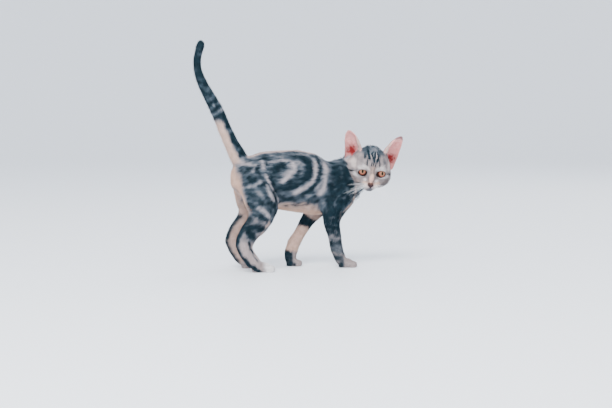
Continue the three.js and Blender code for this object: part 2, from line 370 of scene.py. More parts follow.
def selectFaces(skin, wanted):
    # in edit mode, the faces with all of their vertices wanted
    makeActive(skin)
    bpy.ops.object.mode_set(mode="EDIT")
    bpy.ops.mesh.select_mode(type="VERT")
    bpy.ops.mesh.select_all(action="DESELECT")
    bpy.ops.object.mode_set(mode="OBJECT")
    skin.data.vertices.foreach_set("select", np.asarray(wanted, bool))
    bpy.ops.object.mode_set(mode="EDIT")
    bpy.ops.mesh.select_mode(type="FACE")


def subdivideWhere(skin, wanted):
    selectFaces(skin, wanted)
    bpy.ops.mesh.subdivide(number_cuts=1)
    bpy.ops.mesh.quads_convert_to_tris()
    bpy.ops.object.mode_set(mode="OBJECT")


# the ears: a hollow with a thin rim, which deepens into the canal at its foot
earPlan = {
    "cup": 3.4,
    "canal": 8.0,
    "canalUp": -13.0,  # from the ear's middle, along it
    "canalOut": 4.0,
    "canalWide": 6.5,
    "wall": 0.9,
    "rim": 0.84,
}


def earAxes(side):
    # along the ear, across it outwards, and out of its hollow
    node = nodes[sideName(side) + "_ear"]
    points = toHead(placesOf(node.data))
    middle = (points.max(0) + points.min(0)) / 2
    up = unit(np.linalg.svd(points - points.mean(0))[2][0])
    up = up * np.sign(up[2])
    front = np.linalg.svd(points - points.mean(0))[2][2]
    front = front * np.sign(front[0])
    return middle, up, np.cross(up, front) * side, front


def acrossEar(points, side):
    # place on the ear: along, across and ahead of its middle, and across as a share of its width
    middle, up, across, front = earAxes(side)
    away = points - middle
    local = np.stack([away @ up, away @ across, away @ front], 1)
    node = nodes[sideName(side) + "_ear"]
    own = toHead(placesOf(node.data)) - middle
    heights = own @ up
    levels = np.linspace(heights.min() + 1, heights.max() - 0.5, 12)
    low = [((own @ across)[np.abs(heights - z) < 5]).min() for z in levels]
    high = [((own @ across)[np.abs(heights - z) < 5]).max() for z in levels]
    left, right = np.interp(local[:, 0], levels, low), np.interp(local[:, 0], levels, high)
    share = (local[:, 1] - (left + right) / 2) / ((right - left) / 2)
    return local, share


def hollowEars(h, normals, mesh, edges, ear):
    tree = surfaceTree(mesh, h)
    for side in (-1, 1):
        local, wide = acrossEar(h, side)
        front = earAxes(side)[3]
        mine = (h[:, 1] * side > 0) & (ear > 0.05)
        facing = ease(normals @ front, 0.15, 0.5) * mine * ease(ear, 0.05, 0.5)
        cup = earPlan["cup"] * np.sqrt(np.clip(1 - (wide / earPlan["rim"]) ** 2, 0, 1))
        cup = cup * ease(local[:, 0], -26, -8) * (1 - ease(local[:, 0], 14, 25))
        gap = np.hypot(local[:, 0] - earPlan["canalUp"], local[:, 1] - earPlan["canalOut"])
        cup = cup + earPlan["canal"] * np.exp(-((gap / earPlan["canalWide"]) ** 2))
        room = np.full(len(h), 30.0)
        for k in np.where(facing > 0)[0]:
            start = Vector(h[k] - front * 0.5)
            hit = tree.ray_cast(start, Vector(-front), 30)
            room[k] = hit[3] + 0.5 - earPlan["wall"] if hit[3] is not None else 20
        sink = softened(np.clip(np.minimum(cup, room), 0, None) * facing, edges, 8)
        h = h - front * sink[:, None]
    return h


# folds of the face, as lines on the head's own axes: depth is how far the skin sinks there
faceFolds = {
    "philtrum": {"path": [(34, 0, -18.8), (33, 0, -22.4)], "half": 0.8, "depth": 0.8},
    "mouth": {
        "path": [(33, 0, -22.4), (31.5, 3.4, -24.2), (28, 7.6, -25), (22, 12, -23.4)],
        "half": 1.0,
        "depth": 1.2,
    },
    "muzzleEdge": {"path": [(33, 5.6, -15.2), (29, 8.6, -12.8), (25, 11, -13)], "half": 1.7, "depth": 0.5},
    "tearLine": {"path": [(23.5, 8.2, -3.6), (27, 6.6, -9.6)], "half": 1.3, "depth": 0.45},
    "chinEdge": {"path": [(29, 5.5, -27.5), (24, 9.5, -28.5)], "half": 2.0, "depth": 0.5},
    "noseSeat": {"path": [(33, 0, -14.6), (33, 0, -18)], "half": 4.6, "depth": 0.9},
}

noseLower = 1.3  # than the middle of its own piece

eyePlan = {
    "radius": 8.6,
    "lid": 0.5,  # how far the lids stand off the ball
    "outward": 8,  # the lids' opening faces a little to the side
    "halfWide": 6.6,
    "up": 5.1,
    "down": 5.2,
    "lower": {"right": 0.9, "left": -0.3},  # of the opening's middle, below the ball's
    "inward": {"right": 1.1, "left": 0.9},
    "slant": {"right": 0, "left": 12},  # how much higher the outer corner is
    "full": 0.88,  # below 1, the opening is fuller than an ellipse
    "pinch": 0.2,  # how much flatter it is towards the outer corner
    "soft": 0.8,  # of the step from the lids to the face
    "finer": (2.6, 1.2),  # the faces this near the opening are divided, in turn
    "edge": 0.24,  # vertices this near the opening's edge are moved on to it
    "rim": 0.65,
    "corner": {"right": 1.0, "left": 2.2},  # the dark edge's extra width at the inner corner
}


def eyeAxes(side):
    turn = math.radians(eyePlan["outward"])
    slant = math.radians(eyePlan["slant"][sideName(side)])
    ahead = np.array([math.cos(turn), side * math.sin(turn), 0.0])
    across = np.array([-side * math.sin(turn), math.cos(turn), 0.0]) * side  # outwards
    up = np.array([0.0, 0.0, 1.0])
    outer = across * math.cos(slant) + up * math.sin(slant)
    return ahead, outer, up * math.cos(slant) - across * math.sin(slant)


def eyeMiddle(side):
    return toHead(middleOf(sideName(side) + "_eye"))


def aroundEye(h, side):
    # place round the eye as an angle and as a share of the opening's own radius there
    ahead, outer, up = eyeAxes(side)
    away = h - eyeMiddle(side)
    x = away @ outer + eyePlan["inward"][sideName(side)]
    y = away @ up + eyePlan["lower"][sideName(side)]
    turns = np.linspace(-math.pi, math.pi, 241)
    wide = eyePlan["halfWide"] * np.cos(turns)
    high = np.sign(turns) * np.abs(np.sin(turns)) ** eyePlan["full"]
    high = np.where(turns > 0, eyePlan["up"], eyePlan["down"]) * high
    high = high * (1 - eyePlan["pinch"] * np.clip(np.cos(turns), 0, 1) ** 4)
    turn = np.arctan2(y, x)
    reach = np.interp(turn, np.arctan2(high, wide), np.hypot(wide, high))
    near = (away @ ahead > 0) & (np.linalg.norm(away, axis=1) < 16)
    return turn, np.where(near, np.hypot(x, y) / reach, 9.0), reach


def shapeEyes(h):
    # the skin stands off the ball as two lids
    for side in (-1, 1):
        ahead = eyeAxes(side)[0]
        away = h - eyeMiddle(side)
        far = np.linalg.norm(away, axis=1)
        facing = (away @ ahead) / np.maximum(far, 1e-9)
        lift = eyePlan["radius"] + eyePlan["lid"]
        soft = eyePlan["soft"]
        wanted = lift + soft * np.log1p(np.exp(np.clip((far - lift) / soft, -30, 30)))
        socket = 1 - ease(aroundEye(h, side)[1], 1.0, 2.1)
        wanted = wanted + (lift + 0.25 - wanted) * socket
        h = h + away / far[:, None] * ((wanted - far) * ease(facing, -0.1, 0.35) * (far < 20))[:, None]
    return h


def groove(ratio, depth):
    # a soft valley along a line, from the distance to it as a share of its half width
    return (depth * np.exp(-0.7 * ratio**2))[:, None]


def sinkFolds(h, normals):
    for fold in faceFolds.values():
        path = np.array(fold["path"], float)
        for side in (-1, 1) if np.abs(path[:, 1]).max() > 0 else (1,):
            ratio = lineRatio(h, curveThrough(path * (1, side, 1)), fold["half"])
            h = h - normals * groove(ratio, fold["depth"])
    return h


def openEyes(skin):
    # finer faces round each opening, a clean edge, and a wall from it in to the ball
    mesh = skin.data
    for side in (-1, 1):
        for width in eyePlan["finer"]:
            share, reach = aroundEye(toHead(placesOf(mesh)), side)[1:]
            subdivideWhere(skin, np.abs(share - 1) * reach < width)
        h = toHead(placesOf(mesh))
        turn, share, reach = aroundEye(h, side)
        outer, up = eyeAxes(side)[1:]
        edge = np.abs(share - 1) * reach < eyePlan["edge"]
        flat = outer * np.cos(turn)[:, None] + up * np.sin(turn)[:, None]
        h[edge] = (h + flat * ((1 - share) * reach)[:, None])[edge]
        setPlaces(mesh, fromHead(h))
        share = np.where(edge, 1.0, aroundEye(h, side)[1])
        selectFaces(skin, share <= 1.0)
        bpy.ops.mesh.delete(type="FACE")
        bpy.ops.mesh.select_mode(type="EDGE")
        bpy.ops.mesh.select_all(action="DESELECT")
        bpy.ops.mesh.select_non_manifold(extend=False, use_wire=False, use_multi_face=False,
                                         use_non_contiguous=False, use_verts=False)
        bpy.ops.object.mode_set(mode="OBJECT")
        chosen = np.zeros(len(mesh.vertices), bool)
        mesh.vertices.foreach_get("select", chosen)
        chosen &= aroundEye(toHead(placesOf(mesh)), side)[1] < 1.3
        picked = np.zeros(len(mesh.edges), bool)
        mesh.edges.foreach_get("select", picked)
        picked &= chosen[edgesOf(mesh)].all(1)
        mesh.edges.foreach_set("select", picked)
        before = len(mesh.vertices)
        bpy.ops.object.mode_set(mode="EDIT")
        bpy.ops.mesh.extrude_edges_move()
        bpy.ops.object.mode_set(mode="OBJECT")
        h = toHead(placesOf(mesh))
        away = h[before:] - eyeMiddle(side)
        h[before:] = eyeMiddle(side) + unit(away) * (eyePlan["radius"] - 0.5)
        setPlaces(mesh, fromHead(h))


# the grooves between the toes
toePlan = {"grooves": (-0.46, 0.0, 0.46), "half": 1.0, "depth": 0.9}


def sinkToes(places, normals, tree):
    for name in regions["paw"]:
        low, high = (np.array(c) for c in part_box(name))
        middle, half = (low + high) / 2, (high - low) / 2
        for offset in toePlan["grooves"]:
            path = []
            for angle in (75, 50, 25, 0, -25):
                a = math.radians(angle)
                start = middle + (0, offset * half[1], -half[2] * 0.35)
                away = Vector((math.cos(a), offset * 0.25, math.sin(a)))
                hit = tree.ray_cast(Vector(start), away, 0.05)[0]
                if hit is not None:
                    path.append(np.array(hit) / mm)
            if len(path) > 2:
                ratio = lineRatio(places / mm, curveThrough(path), toePlan["half"])
                places = places - normals * groove(ratio, toePlan["depth"] * mm)
    return places


# the ruff of the chest: from the middle of the trunk, how far it spreads, and how it stands out
ruffPlan = {"ahead": 88, "below": 22, "spread": 17, "swell": 5.5, "longer": 0.9, "higher": 3.0}


def ruffShare(places):
    chest = middleOf("trunk") + np.array([ruffPlan["ahead"], 0, -ruffPlan["below"]]) * mm
    return np.exp(-((np.linalg.norm(places - chest, axis=1) / mm / ruffPlan["spread"]) ** 2))


# the full cheeks, on the head's own axes
cheekPlan = {"place": (6, 29, -17), "spread": 11, "swell": 3.0, "longer": 0.5, "higher": 1.6}


def cheekShare(h):
    gap = np.linalg.norm(np.abs(h * (0, 1, 0)) + h * (1, 0, 1) - cheekPlan["place"], axis=1)
    return np.exp(-((gap / cheekPlan["spread"]) ** 2))


def makeSkin():
    skin = joinedFlesh()
    mesh = skin.data
    places, edges = placesOf(mesh), edgesOf(mesh)
    weights = regionWeights(places, edges, 6)[0]
    ear, face = share(weights, "ear"), share(weights, "head")
    rounds = [skinPlan["earSmoothing"], skinPlan["faceSmoothing"], skinPlan["smoothing"]]
    body = 1 - ease(ear + face, 0.2, 0.8)
    places = smoothed(places, edges, rounds[0])
    places = smoothed(places, edges, rounds[1] - rounds[0], 1 - ease(ear, 0.2, 0.6))
    places = smoothed(places, edges, rounds[2] - rounds[1], body)
    setPlaces(mesh, places)
    roundOff(skin, softened(body * (1 - share(weights, "paw")), edges, 6))
    places = smoothed(placesOf(mesh), edges, 4, body)
    h = toHead(places)
    depth = perRegion(weights, coatDepth) * (1 - 0.55 * face * ease(h[:, 0], 4, 24))
    depth = softened(depth, edges, 10)
    depth = (depth + skinPlan["swell"]) * ease(places[:, 2] / mm, 0, 3) + 0.1
    depth = depth - ruffPlan["swell"] * ruffShare(places) - cheekPlan["swell"] * cheekShare(h)
    places = smoothed(places - normalsOf(mesh) * depth[:, None] * mm, edges, 2)
    places[:, 2] = np.maximum(places[:, 2], 0.1 * mm)
    setPlaces(mesh, places)
    h = hollowEars(toHead(places), normalsOf(mesh) @ headAxes.T, mesh, edges, ear)
    h = h + (smoothed(h, edges, 2) - h) * ear[:, None]
    setPlaces(mesh, fromHead(h))
    thinOut(skin, body)
    h = toHead(placesOf(mesh))
    subdivideWhere(skin, (h[:, 0] > 4) & (np.abs(h[:, 1]) < 30) & (np.abs(h[:, 2]) < 34))
    setPlaces(mesh, fromHead(smoothed(toHead(placesOf(mesh)), edgesOf(mesh), 1)))
    setPlaces(mesh, fromHead(shapeEyes(toHead(placesOf(mesh)))))
    setPlaces(mesh, fromHead(sinkFolds(toHead(placesOf(mesh)), normalsOf(mesh) @ headAxes.T)))
    setPlaces(mesh, sinkToes(placesOf(mesh), normalsOf(mesh), surfaceTree(mesh, placesOf(mesh))))
    openEyes(skin)
    makeActive(skin)
    bpy.ops.object.shade_smooth()
    return skin


skin = makeSkin()
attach(skin, "root")
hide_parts(*fleshNodes)
print("skin made:", len(trianglesOf(skin.data)), "triangles")


# the tabby pattern, laid on the skin by brush strokes
# dark: silver to slate, warm: pink-beige, white, bare: pink skin, deep: dark red, in the ear's canal partly
# its own red and partly painted shade in the hollow,
# rim: the dark edge of lids and lips
markNames = ["dark", "warm", "white", "bare", "deep", "rim"]

# the neck's dark tone is partly its own mix of dark and pale hair, and partly painted highlight, set lighter
# for the light on its coat
baseTones = {
    "dark": {"trunk": 0.54, "neck": 0.74, "upper": 0.74, "lower": 0.48, "foot": 0.22, "paw": 0.36,
             "tail": 0.93, "head": 0.38, "ear": 0.3},
    "warm": {"trunk": 0.12, "neck": 0.08, "upper": 0.1, "lower": 0.3, "foot": 0.4, "paw": 0.55,
             "tail": 0.0, "head": 0.5, "ear": 0.3},
    "white": {"trunk": 0, "neck": 0, "upper": 0, "lower": 0, "foot": 0.05, "paw": 0.12,
              "tail": 0, "head": 0.12, "ear": 0.15},
}

# strokes on both flanks: mark, tone, half width, and the path as (ahead, above) from the middle of
# the trunk, later ones over earlier ones; on the trunk they are all laid a little ahead, as the coat
# falls back over its roots
strokesAhead = 4.5
flankStrokes = [
    ("dark", 1.0, 13.0, [(57, 38), (63, 20), (61, 0), (56, -20), (55, -40)]),
    ("dark", 1.0, 9.5, [(80, 18), (77, -6), (70, -26)]),
    # the next two lighter streaks in the dark of the shoulder are painted highlights
    ("dark", 0.75, 3.2, [(52, 34), (60, 30), (66, 24)]),
    ("dark", 0.8, 3.6, [(50, 4), (57, -4), (62, -14)]),
    ("dark", 0.7, 1.5, [(60, -22), (69, -14), (80, -5)]),
    ("dark", 0.65, 1.4, [(66, -26), (75, -18), (84, -10)]),
    ("dark", 0.7, 1.6, [(62, -18), (56, -28), (58, -38)]),
    ("dark", 0.75, 1.3, [(74, 14), (71, 6), (66, -2)]),
    ("dark", 0.6, 5.4, [(-90, 39), (-68, 44), (-46, 44), (-18, 43.5), (8, 42)]),
    ("dark", 0.95, 1.2, [(-100, 36), (-84, 35), (-70, 38.5), (-52, 38.5), (-30, 38)]),
    ("dark", 0.9, 1.0, [(-44, 49), (-20, 49), (4, 47)]),
    ("dark", 0.25, 1.9, [(-47, 35), (-34, 36.5), (-20, 37.4), (-13, 33)]),
    ("dark", 0.82, 6.5, [(-12, 34), (-5, 22), (-8, 10)]),
    ("dark", 1.0, 6.2, [(-50, 17), (-36, 25), (-24, 29)]),
    ("dark", 1.0, 5.4, [(-50, 20), (-48, 8), (-44, -4)]),
    ("dark", 1.0, 7.6, [(4, 41), (14, 36), (17, 24), (12, 11), (1, 3), (-13, -1), (-28, -5), (-42, -9)]),
    ("dark", 0.1, 3.9, [(-10, 35), (-8, 25), (-15, 17), (-23, 10), (-32, 3)]),
    ("dark", 0.25, 1.7, [(-6, 29), (-2, 34), (3, 33)]),
    ("dark", 0.3, 1.5, [(4, 31), (8, 30), (10, 33)]),
    ("dark", 1.0, 4.3, [(28, 47), (32, 39), (34.5, 22), (27, 3.5), (15.5, -8), (-1, -18.5), (-20, -21),
                        (-37, -18)]),
    ("dark", 1.0, 2.6, [(21, -6), (25, -17), (31, -26)]),
    ("dark", 0.05, 3.5, [(22, 46), (27, 34), (27, 20), (21.5, 6.5), (9, -4), (-2, -11), (-9, -13)]),
    ("dark", 0.1, 4.4, [(12, -1), (3, -7), (-4, -10)]),
    ("dark", 0.1, 4.0, [(41, 38), (44, 28), (46, 17)]),
    ("dark", 0.12, 3.5, [(44, 14), (41, 1), (36, -10), (33, -16)]),
    ("dark", 0.3, 1.7, [(33, 4), (30, -2), (26, -8)]),
    ("warm", 0.75, 7.0, [(-33, -33), (-12, -34), (8, -34), (26, -36)]),
    ("dark", 0.12, 6.4, [(-33, -32), (-12, -34), (8, -34), (26, -36)]),
    ("dark", 0.85, 2.1, [(-9, -32), (2, -30), (14, -25), (21, -18)]),
    ("dark", 0.7, 1.5, [(-1, -35), (11, -33), (23, -26)]),
    ("dark", 0.6, 1.4, [(22, -14), (25, -28), (27, -40)]),
    ("dark", 0.6, 1.2, [(-24, -28), (-19, -33), (-12, -37)]),
    ("dark", 1.0, 3.4, [(-53, 36), (-50, 22), (-46, 8), (-42, -4)]),
    ("dark", 0.1, 2.5, [(-60, 35), (-57, 22), (-52, 4), (-47, -8)]),
    ("dark", 0.12, 1.3, [(-48, -8), (-42, -17), (-36, -27), (-34, -36)]),
    ("dark", 0.2, 3.8, [(-57, -2), (-53, -14), (-48, -24)]),
    ("dark", 0.2, 3.3, [(-98, 36), (-88, 33), (-78, 30)]),
    ("dark", 0.22, 2.4, [(-79, 20), (-73, 25), (-68, 31)]),
    ("dark", 0.92, 2.0, [(-97, 5), (-85, 13), (-69, 26), (-63, 32)]),
    ("dark", 0.92, 2.3, [(-99, 1), (-83, 6.5), (-66, 14.5)]),
    ("dark", 0.25, 1.8, [(-97, -2), (-79, 0), (-62, 6)]),
    ("dark", 0.9, 2.4, [(-97, -7), (-78, -6), (-60, 0)]),
    ("dark", 0.4, 3.6, [(-74, -10), (-67, -18)]),
    ("dark", 0.9, 2.4, [(-90, -16), (-80, -20), (-69, -25)]),
    ("dark", 0.95, 4.2, [(-58, -21), (-47, -32), (-40, -43)]),
    ("dark", 0.85, 1.9, [(-74, -25), (-62, -30), (-52, -40), (-47, -49)]),
    ("dark", 0.18, 3.6, [(-79, -29), (-70, -35), (-60, -41), (-51, -50)]),
    ("dark", 0.85, 2.6, [(-88, -27), (-84, -38), (-76, -46)]),
    ("dark", 0.95, 2.1, [(-88, -50), (-76, -46), (-63, -50), (-54, -57)]),
    ("dark", 0.62, 4.5, [(-80, -55), (-66, -57)]),
    ("dark", 0.97, 6.0, [(-92, -61), (-79, -65), (-64, -67)]),
    ("dark", 0.97, 6.0, [(-87, -68), (-82, -79), (-77, -91)]),
    ("dark", 0.15, 2.8, [(-52, -54), (-57, -62)]),
    ("warm", 0.6, 2.8, [(-52, -54), (-57, -62)]),
    ("dark", 0.12, 3.6, [(-63, -73), (-70, -81), (-73, -86)]),
    ("warm", 0.6, 3.6, [(-63, -73), (-70, -81), (-73, -86)]),
    ("dark", 0.25, 4.6, [(-84, -97), (-80, -107), (-71, -118)]),
    ("warm", 0.4, 4.6, [(-84, -97), (-80, -107), (-71, -118)]),
    ("dark", 0.85, 1.7, [(-86, -84), (-86, -94), (-82, -104)]),
    ("dark", 0.6, 1.3, [(-80, -92), (-76, -104), (-68, -114)]),
    ("dark", 0.55, 1.1, [(-88, -100), (-80, -112), (-70, -122)]),
    ("dark", 0.7, 1.2, [(-64, -68), (-69, -78), (-76, -84)]),
    ("dark", 0.97, 3.6, [(-108, -80), (-105, -98), (-94, -114), (-82, -127), (-72, -134)]),
    ("warm", 0.85, 3.6, [(95, -4), (92, -14), (88, -24)]),
    ("dark", 0.1, 3.3, [(95, -4), (92, -14), (88, -24)]),
    ("warm", 0.8, 2.8, [(86, -29), (80, -36), (74, -40)]),
    ("dark", 0.15, 2.6, [(86, -29), (80, -36), (74, -40)]),
    ("warm", 0.8, 2.2, [(68, -42), (69, -48), (68, -56)]),
    ("dark", 0.15, 2.0, [(68, -42), (69, -48), (68, -56)]),
]

# bands round the legs and tail: nodes, mark, tone, height of the middle, half width, tilt
bands = [
    (["right_forearm", "right_upper_arm"], "dark", 0.97, 76, 17.5, 0.0),
    # the next two lighter rings on the dark of the forearm are painted highlights
    (["right_forearm"], "dark", 0.7, 79, 1.4, 0.3),
    (["right_forearm"], "dark", 0.65, 64, 1.1, -0.2),
    (["right_forearm"], "dark", 0.58, 51.5, 4.8, 0.0),
    (["right_forearm"], "warm", 0.4, 51.5, 4.8, 0.0),
    (["right_forearm"], "dark", 1.0, 42.8, 3.2, 0.1),
    (["right_forearm"], "dark", 0.6, 27, 14.0, 0.0),
    (["left_upper_arm"], "dark", 0.5, 92, 10.0, 0.0),
    (["left_forearm"], "dark", 0.1, 46, 22, 0.0),
    (["left_forearm"], "warm", 0.8, 46, 22, 0.0),
    (["left_forearm", "left_upper_arm"], "dark", 1.0, 67, 8.6, -0.45),
    (["tail_tip"], "dark", 1.0, 350, 44, 0.0),
    (["tail_tip", "tail_middle"], "dark", 0.72, 286, 7.0, 0.5),
    (["tail_middle"], "dark", 0.7, 270, 3.0, 0.6),
    (["tail_middle"], "dark", 1.0, 262, 3.4, 0.8),
    (["tail_middle"], "dark", 0.5, 255, 3.0, 0.8),
    (["tail_middle"], "dark", 1.0, 248, 2.6, 0.8),
    (["tail_middle"], "dark", 0.45, 241, 3.0, 0.8),
    (["tail_base", "tail_middle"], "dark", 1.0, 231, 3.0, 0.8),
    (["tail_base"], "dark", 0.7, 221, 2.6, 0.8),
]

# strokes of the face, on the head's own axes; those off the middle line that end in True are
# repeated on the other side
faceStrokes = [
    ("dark", 0.12, 3.4, [(26, 5.5, 5), (24, 14, 8.5), (18, 22, 5.5)], True),
    ("white", 0.6, 3.4, [(26, 5.5, 5), (24, 14, 8.5), (18, 22, 5.5)], True),
    ("dark", 0.12, 3.2, [(26, 9, -10), (22, 17, -9.5), (15, 25, -6)], True),
    ("white", 0.65, 3.2, [(26, 9, -10), (22, 17, -9.5), (15, 25, -6)], True),
    ("white", 0.5, 6.5, [(4, 32, 16), (8, 31, 12), (12, 28.5, 6)], True),
    ("dark", 0.12, 6.0, [(4, 32, 16), (8, 31, 12), (12, 28.5, 6)], True),
    ("warm", 0.7, 6.0, [(4, 32, 16), (8, 31, 12), (12, 28.5, 6)], True),
    ("dark", 0.45, 0.9, [(3, 30, 21), (7, 29.5, 16.5)], True),
    ("dark", 0.45, 0.8, [(7, 26.5, 22), (11, 26.5, 17)], True),
    ("dark", 0.42, 5.0, [(13, -21, 22), (17, -18.5, 18), (20, -16.5, 14)], False),
    ("warm", 0.6, 6.5, [(14, -23, -20), (6, -28, -19)], False),
    ("dark", 0.5, 6.0, [(12, -24, -20), (5, -29, -19)], False),
    ("dark", 0.5, 6.0, [(11, 26, -14), (17, 21, -17)], False),
    ("dark", 0.15, 6.0, [(33, 6, -21), (29, 9, -22)], True),
    ("white", 0.5, 6.0, [(33, 6, -21), (29, 9, -22)], True),
    ("warm", 1.0, 4.5, [(31, 9, -15), (26, 14, -14)], False),
    ("dark", 0.12, 4.0, [(31, 9, -15), (26, 14, -14)], False),
    ("warm", 0.9, 4.0, [(31, -8, -16), (27, -12, -15)], False),
    ("dark", 0.1, 4.0, [(31, -8, -16), (27, -12, -15)], False),
    ("white", 0.35, 6.5, [(30, 0, -29), (24, 0, -31), (16, 0, -30)], False),
    # darker under the chin, as painted shade
    ("dark", 0.52, 5.0, [(31, 0, -28), (25, 0, -31)], False),
    ("warm", 0.75, 4.0, [(10, 27, -12), (16, 24, -15), (20, 20, -16)], True),
    ("warm", 0.9, 5.2, [(25.5, 0.8, 9), (27, 0.6, 2), (29, 0.3, -5)], False),
    ("dark", 0.48, 4.2, [(25.5, 0.8, 7), (27, 0.6, 1), (28.4, 0.3, -4)], False),
    ("warm", 1.0, 4.6, [(28, 0.3, -3), (30.5, 0.2, -8), (33, 0, -12.5)], False),
    ("dark", 0.0, 4.6, [(28, 0.3, -3), (30.5, 0.2, -8), (33, 0, -12.5)], False),
    ("bare", 0.3, 3.6, [(29, 0.3, -6), (31, 0.2, -10), (33, 0, -14)], False),
    ("warm", 0.9, 3.2, [(31, 4, -12), (30, 6.5, -14)], True),
    ("dark", 0.35, 1.9, [(25.5, 0.6, 10), (26.4, 0.5, 6), (27, 0.4, 2)], False),
    ("dark", 0.45, 3.0, [(6, 29, -9), (10, 28, -13)], True),
    ("rim", 0.35, 0.9, [(25, 6.4, -3.5), (27, 5.4, -8), (28.6, 5.9, -12)], True),
    ("deep", 0.25, 1.2, [(27, 5.6, -6.5), (29.5, 5.6, -12)], True),
    ("dark", 1.0, 1.3, [(19.6, 20.5, 0.8), (14, 27.5, -1.8), (9, 31.8, -4.3), (1, 37, -8)], True),
    ("rim", 0.85, 0.9, [(19.6, 20.5, 0.8), (14, 27.5, -1.8), (9, 31.8, -4.3), (3, 35, -7)], True),
    ("dark", 1.0, 1.8, [(13.6, 27.5, -2), (11, 29.5, -3.2)], True),
    ("dark", 0.7, 0.9, [(27, -10, -18), (22, -15, -19.5), (18, -19.5, -19), (13.6, -27, -17)], False),
    ("rim", 0.75, 0.8, [(33.5, 0, -18.6), (33, 0, -22.8)], False),
    ("dark", 0.7, 1.6, [(33.5, 0, -18.4), (33, 0, -23)], False),
    ("rim", 0.55, 0.5, [(33, 0, -22.4), (31.5, 3.4, -24.2), (28, 7.6, -25), (22, 12, -23.4)], True),
    ("dark", 0.88, 15.0, [(4, 1.5, 33), (-14, 0, 34), (-30, 0, 20)], False),
    ("dark", 0.5, 8.8, [(4, 1, 33), (12, 0.5, 31), (18, 0.5, 25.8), (21.5, 0.4, 22)], False),
    ("dark", 0.4, 1.2, [(1, -4, 34), (-8, -4.5, 35.5)], False),
    ("dark", 0.4, 1.0, [(2, 4, 34), (-8, 5, 35.5)], False),
    ("dark", 0.3, 0.9, [(4, 10, 33), (-4, 11, 34)], False),
    ("dark", 0.8, 2.6, [(12, -14, 29.5), (16, -14.2, 26), (19, -13.5, 22.5)], False),
    ("dark", 0.5, 3.4, [(14, 19, 24), (17, 20.5, 20.5), (19, 20, 17)], False),
    ("dark", 1.0, 2.1, [(4, -8.8, 33), (10, -8.6, 31.2), (14, -8, 29.2), (18, -7.2, 25.6),
                        (22, -6.3, 21.4)], False),
    ("dark", 0.85, 1.1, [(19, -8, 24.8), (23, -9.6, 18.7), (25, -9.5, 13.5), (26, -9.3, 10)], False),
    ("dark", 1.0, 1.4, [(10, -0.7, 31.5), (14, -3, 29.2), (19, -2, 25.2), (22, -0.2, 21.6)], False),
    ("dark", 1.0, 1.4, [(10, 2.3, 31.5), (17.7, 2, 26), (22, 0.9, 21.2)], False),
    ("dark", 1.0, 2.0, [(21.4, 0.3, 22.2), (23, 0.6, 18.6), (23.6, 0.6, 16.4)], False),
    ("dark", 1.0, 1.8, [(10, 6, 31.5), (14.8, 7.1, 28.5), (20, 7, 24.7), (22.4, 5.9, 20.5),
                        (23.8, 5, 16.6)], False),
    ("dark", 0.95, 1.1, [(20, 8.6, 24.5), (22, 9.2, 21), (25, 10.3, 14), (26, 10.5, 10)], False),
    ("dark", 0.8, 1.5, [(12, 11.5, 30), (15.5, 11.3, 27.8), (18.5, 11, 25.3)], False),
    ("dark", 0.1, 0.8, [(12.5, 4.4, 30.6), (17.7, 4.7, 26), (21.5, 4, 22.2)], False),
    ("dark", 0.3, 0.7, [(13.5, -5.6, 29.6), (18, -4.8, 25.8), (21.5, -3.6, 22.2)], False),
    ("dark", 0.95, 0.8, [(23.6, -2.9, 17.5), (25, -2.8, 14), (26, -2.6, 10.5)], False),
    ("dark", 0.9, 0.75, [(24, 0.1, 16.5), (25.6, 0, 11.5)], False),
    ("dark", 0.9, 0.8, [(24.6, 3.2, 15), (26, 3.6, 10.3)], False),
    ("dark", 0.12, 6.0, [(2, 34, 12), (-3, 37, 16), (-8, 38, 14)], True),
    ("dark", 0.95, 2.3, [(-2, 36, -3), (-14, 33, -7), (-26, 24, -14)], True),
    ("dark", 0.9, 2.0, [(0, 34, -17), (-10, 33, -20), (-22, 26, -25)], True),
    ("dark", 1.0, 2.4, [(-10, 7.5, 34), (-26, 9, 24), (-34, 9, 8), (-36, 8, -8)], True),
    ("dark", 1.0, 2.0, [(-12, 0, 35), (-30, 0, 20), (-37, 0, 2)], False),
    ("dark", 0.9, 2.0, [(-12, 17, 30), (-24, 20, 20), (-32, 19, 4)], True),
    ("dark", 0.85, 1.8, [(-16, 29, 12), (-26, 26, 4), (-32, 20, -6)], True),
]

# waver of the strokes' edges: two sizes of it, as (size, amount)
waver = {"body": [(11, 1.7), (4, 0.9)], "face": [(6, 0.3), (2.5, 0.2)]}

# how much the dark parts vary, and over what length
patches = {"amount": 0.36, "size": 6.5}


def wavered(places, kinds):
    moved = places.copy()
    for size, amount in kinds:
        for k, p in enumerate(places):
            moved[k] += np.array(noise.noise_vector(Vector(p) / size)) * amount
    return moved


def brush(marks, name, tone, cover):
    marks[name] = marks[name] + (tone - marks[name]) * cover


def wash(marks, cover, **tones):
    # more than one mark over the same place
    for name, tone in tones.items():
        brush(marks, name, tone, cover)


